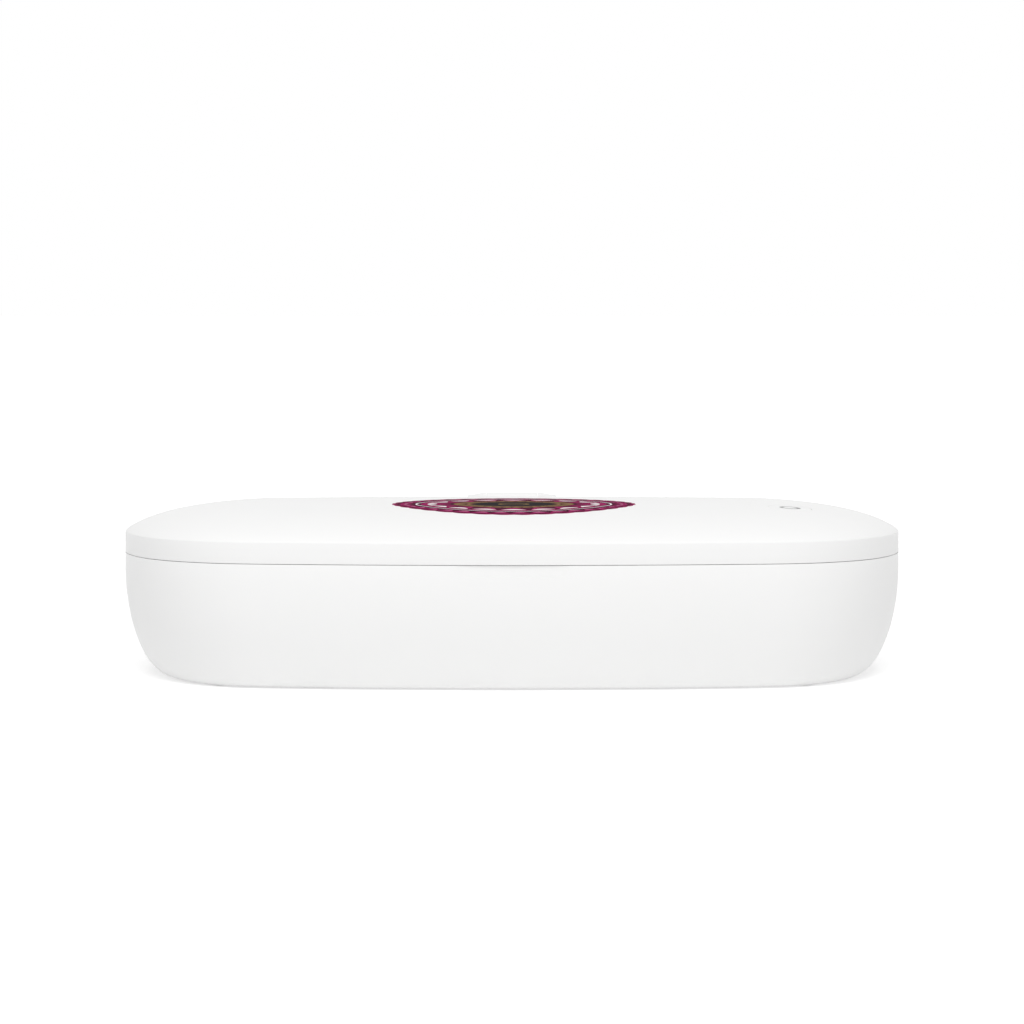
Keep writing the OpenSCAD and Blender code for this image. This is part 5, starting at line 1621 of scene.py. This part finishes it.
@dataclass(frozen=True)
class SmallDetails:
    """Contacts of the inlet, legs of the sensor, plate of the switch, and the feet."""

    contact_pitch: float = 0.5
    contact_count: int = 12
    contact_half: float = 0.125
    leg_pitch: float = 1.27
    stud_place: float = 2.2

    def contacts(self) -> Solid:
        """Gilt contacts on both faces of the inlet's tongue."""
        lump, = Lump.all_of("usb_tongue")
        low, high, half = lump.low, lump.high, self.contact_half
        solid = Solid()
        for step in range(self.contact_count):
            x = (step - (self.contact_count - 1) / 2) * self.contact_pitch
            for face, way in ((low.z, -1), (high.z, 1)):
                start, end = sorted((face - way * 0.05, face + way * 0.025))
                solid.beside(Solid.block((x - half, low.y + 0.4, start), (x + half, high.y - 0.5, end)))
        return solid

    def sensor_legs(self) -> Solid:
        """Three legs under the closing sensor."""
        lump, = Lump.all_of("lid_sensor")
        x, y, _ = lump.place
        return Solid.repeated(
            lambda a, b: Solid.slab((a, b), (0.2, 0.15), (lump.low.z - 1.6, lump.low.z + 0.1), 0.04, 1),
            [(x + self.leg_pitch * k, y) for k in (-1, 0, 1)])

    def switch_plate(self) -> Solid:
        """Steel plate with four studs that holds the press switch together."""
        lump, = Lump.all_of("tact_switch")
        (x, y, _), z, rim = lump.place, lump.high.z, Vector((0.1, 0.1))
        halves = ((lump.high - lump.low) / 2).xy - rim
        plate = Solid.slab((x, y), halves, (z - 0.02, z + 0.1), 0.04, 1)
        plate.joined(Join.CUT, Solid.bar(1.75, z - 1, z + 1, (x, y, 0)))
        studs = [(x + a, y + b) for a, b in mirrored_places(self.stud_place, self.stud_place)]
        return plate.beside(Solid.bars(studs, 0.4, z + 0.1, z + 0.2, 0.05, 20))

    def feet(self) -> Solid:
        """Feet with a ring groove below and a plug above."""
        solid = Solid()
        for lump in Lump.all_of("rubber_feet"):
            top, step = lump.high.z, lump.levels[1]
            pad, plug = lump.widest(lump.low.z), lump.widest(top)
            solid.beside(Solid.turned(rounded([
                (0, 0.12), (1.2, 0.12, 0.05), (1.35, 0, 0.08), (2.5, 0, 0.08), (2.65, 0.22, 0.08),
                (3.2, 0.22, 0.08), (3.35, 0, 0.08), (pad, 0, 0.35), (pad, step), (plug, step),
                (plug, top, 0.25), (0, top)], 4), lump.place))
        return solid

    def build(self) -> None:
        """Makes all of them."""
        Piece("inlet_contacts", Body.BASE, "steel", Finishes.GOLD).place(self.contacts())
        Piece("closing_sensor_legs", Body.BASE, "steel", Finishes.NICKEL).place(self.sensor_legs())
        Piece("press_switch_plate", Body.LID, "steel", Finishes.STEEL).place(self.switch_plate())
        Piece("feet", Body.BASE, "rubber", Finishes.FOOT, "rubber_feet").place(self.feet())


@dataclass(frozen=True)
class Leads:
    """Insulated leads between the boards."""

    rows: tuple[tuple[str, str, Body], ...] = (
        ("lamp_lead", "floor_lamp_lead", Body.BASE),
        ("sensor_lead", "closing_sensor_lead", Body.BASE),
        ("hinge_lead", "hinge_lead_in_tub", Body.BASE),
        ("lid_lead", "hinge_lead_in_lid", Body.LID),
        ("button_lead", "switch_lead", Body.LID))
    crease_angle: float = 60.0

    def build(self) -> None:
        """Makes each lead round from its packed eight-sided tube."""
        for node, name, body in self.rows:
            solid = Solid.from_node(node)
            bm = solid.bm
            bmesh.ops.join_triangles(bm, faces=[f for f in bm.faces if len(f.verts) == 3],
                                     angle_face_threshold=1.0, angle_shape_threshold=1.6)
            layers = bm.edges.layers.float
            crease = layers.get("crease_edge") or layers.new("crease_edge")
            for edge in bm.edges:
                if edge.calc_face_angle(0.0) > math.radians(self.crease_angle):
                    edge[crease] = 1.0
            Piece(name, body, "lead", Finishes.INSULATION, node, self.crease_angle, 1).place(solid)


# -- Studio -------------------------------------------------------------------


@dataclass(frozen=True)
class Studio:
    """Floor, lamp, world and camera, in metres."""

    camera_place: Triple = (0.0, -1.0, 0.1083)
    camera_pitch: float = 3.630
    lens: float = 124.53
    world_light: float = 0.49
    floor_half: float = 12.0
    # Glow of the floor, for every ray, that lights the box as painted bounce light.
    floor_bounce: float = 0.315
    # Share of that glow that the camera still sees under and beside the box; the rest is left out there
    # as a painted shadow.
    painted_shadow_glow_share: float = 0.85
    near_glow: float = 0.155
    far_glow: float = 0.9
    far_from: Pair = (0.3, 1.2)
    # Size and edge of the painted shadow, where the floor's bounce glow is dimmed near the box.
    painted_shadow_scale: Triple = (9.2, 16.8, 0.0)
    painted_shadow_edge: Pair = (0.62, 0.86)
    lamp_place: Triple = (0.0, -1.1, 1.85)
    lamp_size: Pair = (1.5, 1.2)
    lamp_power: float = 28.6
    lamp_aim: Triple = (0.0, 0.0, 0.02)

    def build(self) -> None:
        """Sets the scene."""
        bpy.context.scene.view_settings.view_transform = "Standard"
        self.floor()
        self.world()
        self.lamp()
        self.camera()

    @staticmethod
    def _linked(name: str, data: bpy.types.ID) -> bpy.types.Object:
        """An object of that name in the scene."""
        item = bpy.data.objects.new(name, data)
        bpy.context.scene.collection.objects.link(item)
        return item

    def floor(self) -> None:
        """A wide pale floor that keeps the box's shadow, with a painted shadow: its glow is dimmed
        under and beside the box, which also paints shade on the box's underside.
        """
        bm = bmesh.new()
        bmesh.ops.create_grid(bm, x_segments=1, y_segments=1, size=self.floor_half)
        mesh = bpy.data.meshes.new("floor")
        bm.to_mesh(mesh)
        bm.free()
        shader = Shader("pale_floor")
        tone = shader.blend(shader.noise(3.0, 2.0), (0.69, 0.69, 0.69), (0.71, 0.71, 0.71))
        diffuse = shader.add("ShaderNodeBsdfDiffuse", None, {"Color": tone})
        outer = shader.ramp(shader.vector("LENGTH", shader.place()), *self.far_from)
        scaled = shader.vector("MULTIPLY", shader.place(), self.painted_shadow_scale)
        # Painted shadow: this is 0 under and beside the box and 1 away from it; the bounce glow is
        # taken away where it is 0, which paints shade on the box's underside.
        clear = shader.ramp(shader.vector("LENGTH", scaled), *self.painted_shadow_edge)
        # Painted shadow: the camera sees only part of the bounce glow near the box, so the floor there
        # looks shaded.
        under = (1.0 - clear) * (self.floor_bounce * self.painted_shadow_glow_share)
        shown = self._seen(shader) * (outer * self.far_glow + self.near_glow + under)
        glow = shader.add("ShaderNodeEmission", None,
                          {"Color": (1, 1, 1, 1), "Strength": shown + clear * self.floor_bounce})
        both = shader.add("ShaderNodeAddShader", None, {0: diffuse, 1: glow})
        shader.add("ShaderNodeOutputMaterial", None, {"Surface": both})
        mesh.materials.append(shader.owner)
        self._linked("floor", mesh)

    @staticmethod
    def _seen(shader: Shader) -> Reading:
        """One for rays that show the surface to the camera, also through gloss and glass."""
        rays = shader.outputs(shader.add("ShaderNodeLightPath"))
        return shader.math("ADD", rays["Is Camera Ray"] + rays["Is Glossy Ray"],
                           rays["Is Transmission Ray"], use_clamp=True)

    def world(self) -> None:
        """Even light from all round, white where it is seen."""
        world = bpy.context.scene.world = bpy.data.worlds.new("studio_air")
        shader = Shader("studio_air", world)
        strength = self._seen(shader) * (1.0 - self.world_light) + self.world_light
        glow = shader.add("ShaderNodeBackground", None,
                          {"Color": (1, 1, 1, 1), "Strength": strength})
        shader.add("ShaderNodeOutputWorld", None, {"Surface": glow})

    def lamp(self) -> None:
        """A softbox in front and above, which faces the box."""
        data = bpy.data.lights.new("front_softbox", "AREA")
        data.shape, data.energy = "RECTANGLE", self.lamp_power
        data.size, data.size_y = self.lamp_size
        item = self._linked("front_softbox", data)
        item.location = self.lamp_place
        aim = Vector(self.lamp_aim) - Vector(self.lamp_place)
        item.rotation_euler = aim.to_track_quat("-Z", "Y").to_euler()

    def camera(self) -> None:
        """Low camera in front, as in the photograph."""
        data = bpy.data.cameras.new("front_camera")
        data.lens, data.sensor_width, data.sensor_fit = self.lens, 36.0, "HORIZONTAL"
        data.clip_start, data.clip_end = 0.05, 60.0
        item = self._linked("front_camera", data)
        item.location = self.camera_place
        item.rotation_euler = (math.radians(90.0 - self.camera_pitch), 0.0, 0.0)
        bpy.context.scene.camera = item


def main() -> None:
    """Builds the box and its studio."""
    logging.basicConfig(level=logging.INFO, format="%(message)s")
    up, down = 1, -1
    parts = (
        Tub(), Lid(), Tray(), Liner(), PowerButton(),
        LampRow("base_lamps", "floor_lamps", Body.BASE, up),
        LampRow("lid_lamps", "panel_lamps", Body.LID, down),
        PlugSet("board_plugs", "control_plugs", Body.BASE, down),
        PlugSet("lid_plugs", "panel_plugs", Body.LID, up),
        ScrewSet("case_screws", "tub_screws", Body.BASE, 0.9),
        ScrewSet("board_screws", "control_board_screws", Body.BASE),
        ScrewSet("base_lamp_screws", "floor_lamp_screws", Body.BASE),
        ScrewSet("lid_lamp_screws", "panel_lamp_screws", Body.LID),
        ScrewSet("button_screws", "switch_board_screws", Body.LID),
        ScrewSet("liner_screws", "panel_screws", Body.LID),
        ControlParts(), SmallDetails(), FineParts(), Leads(), Studio())
    for part in parts:
        LOG.info("building %s", type(part).__name__)
        part.build()


if __name__ == "__main__":
    main()
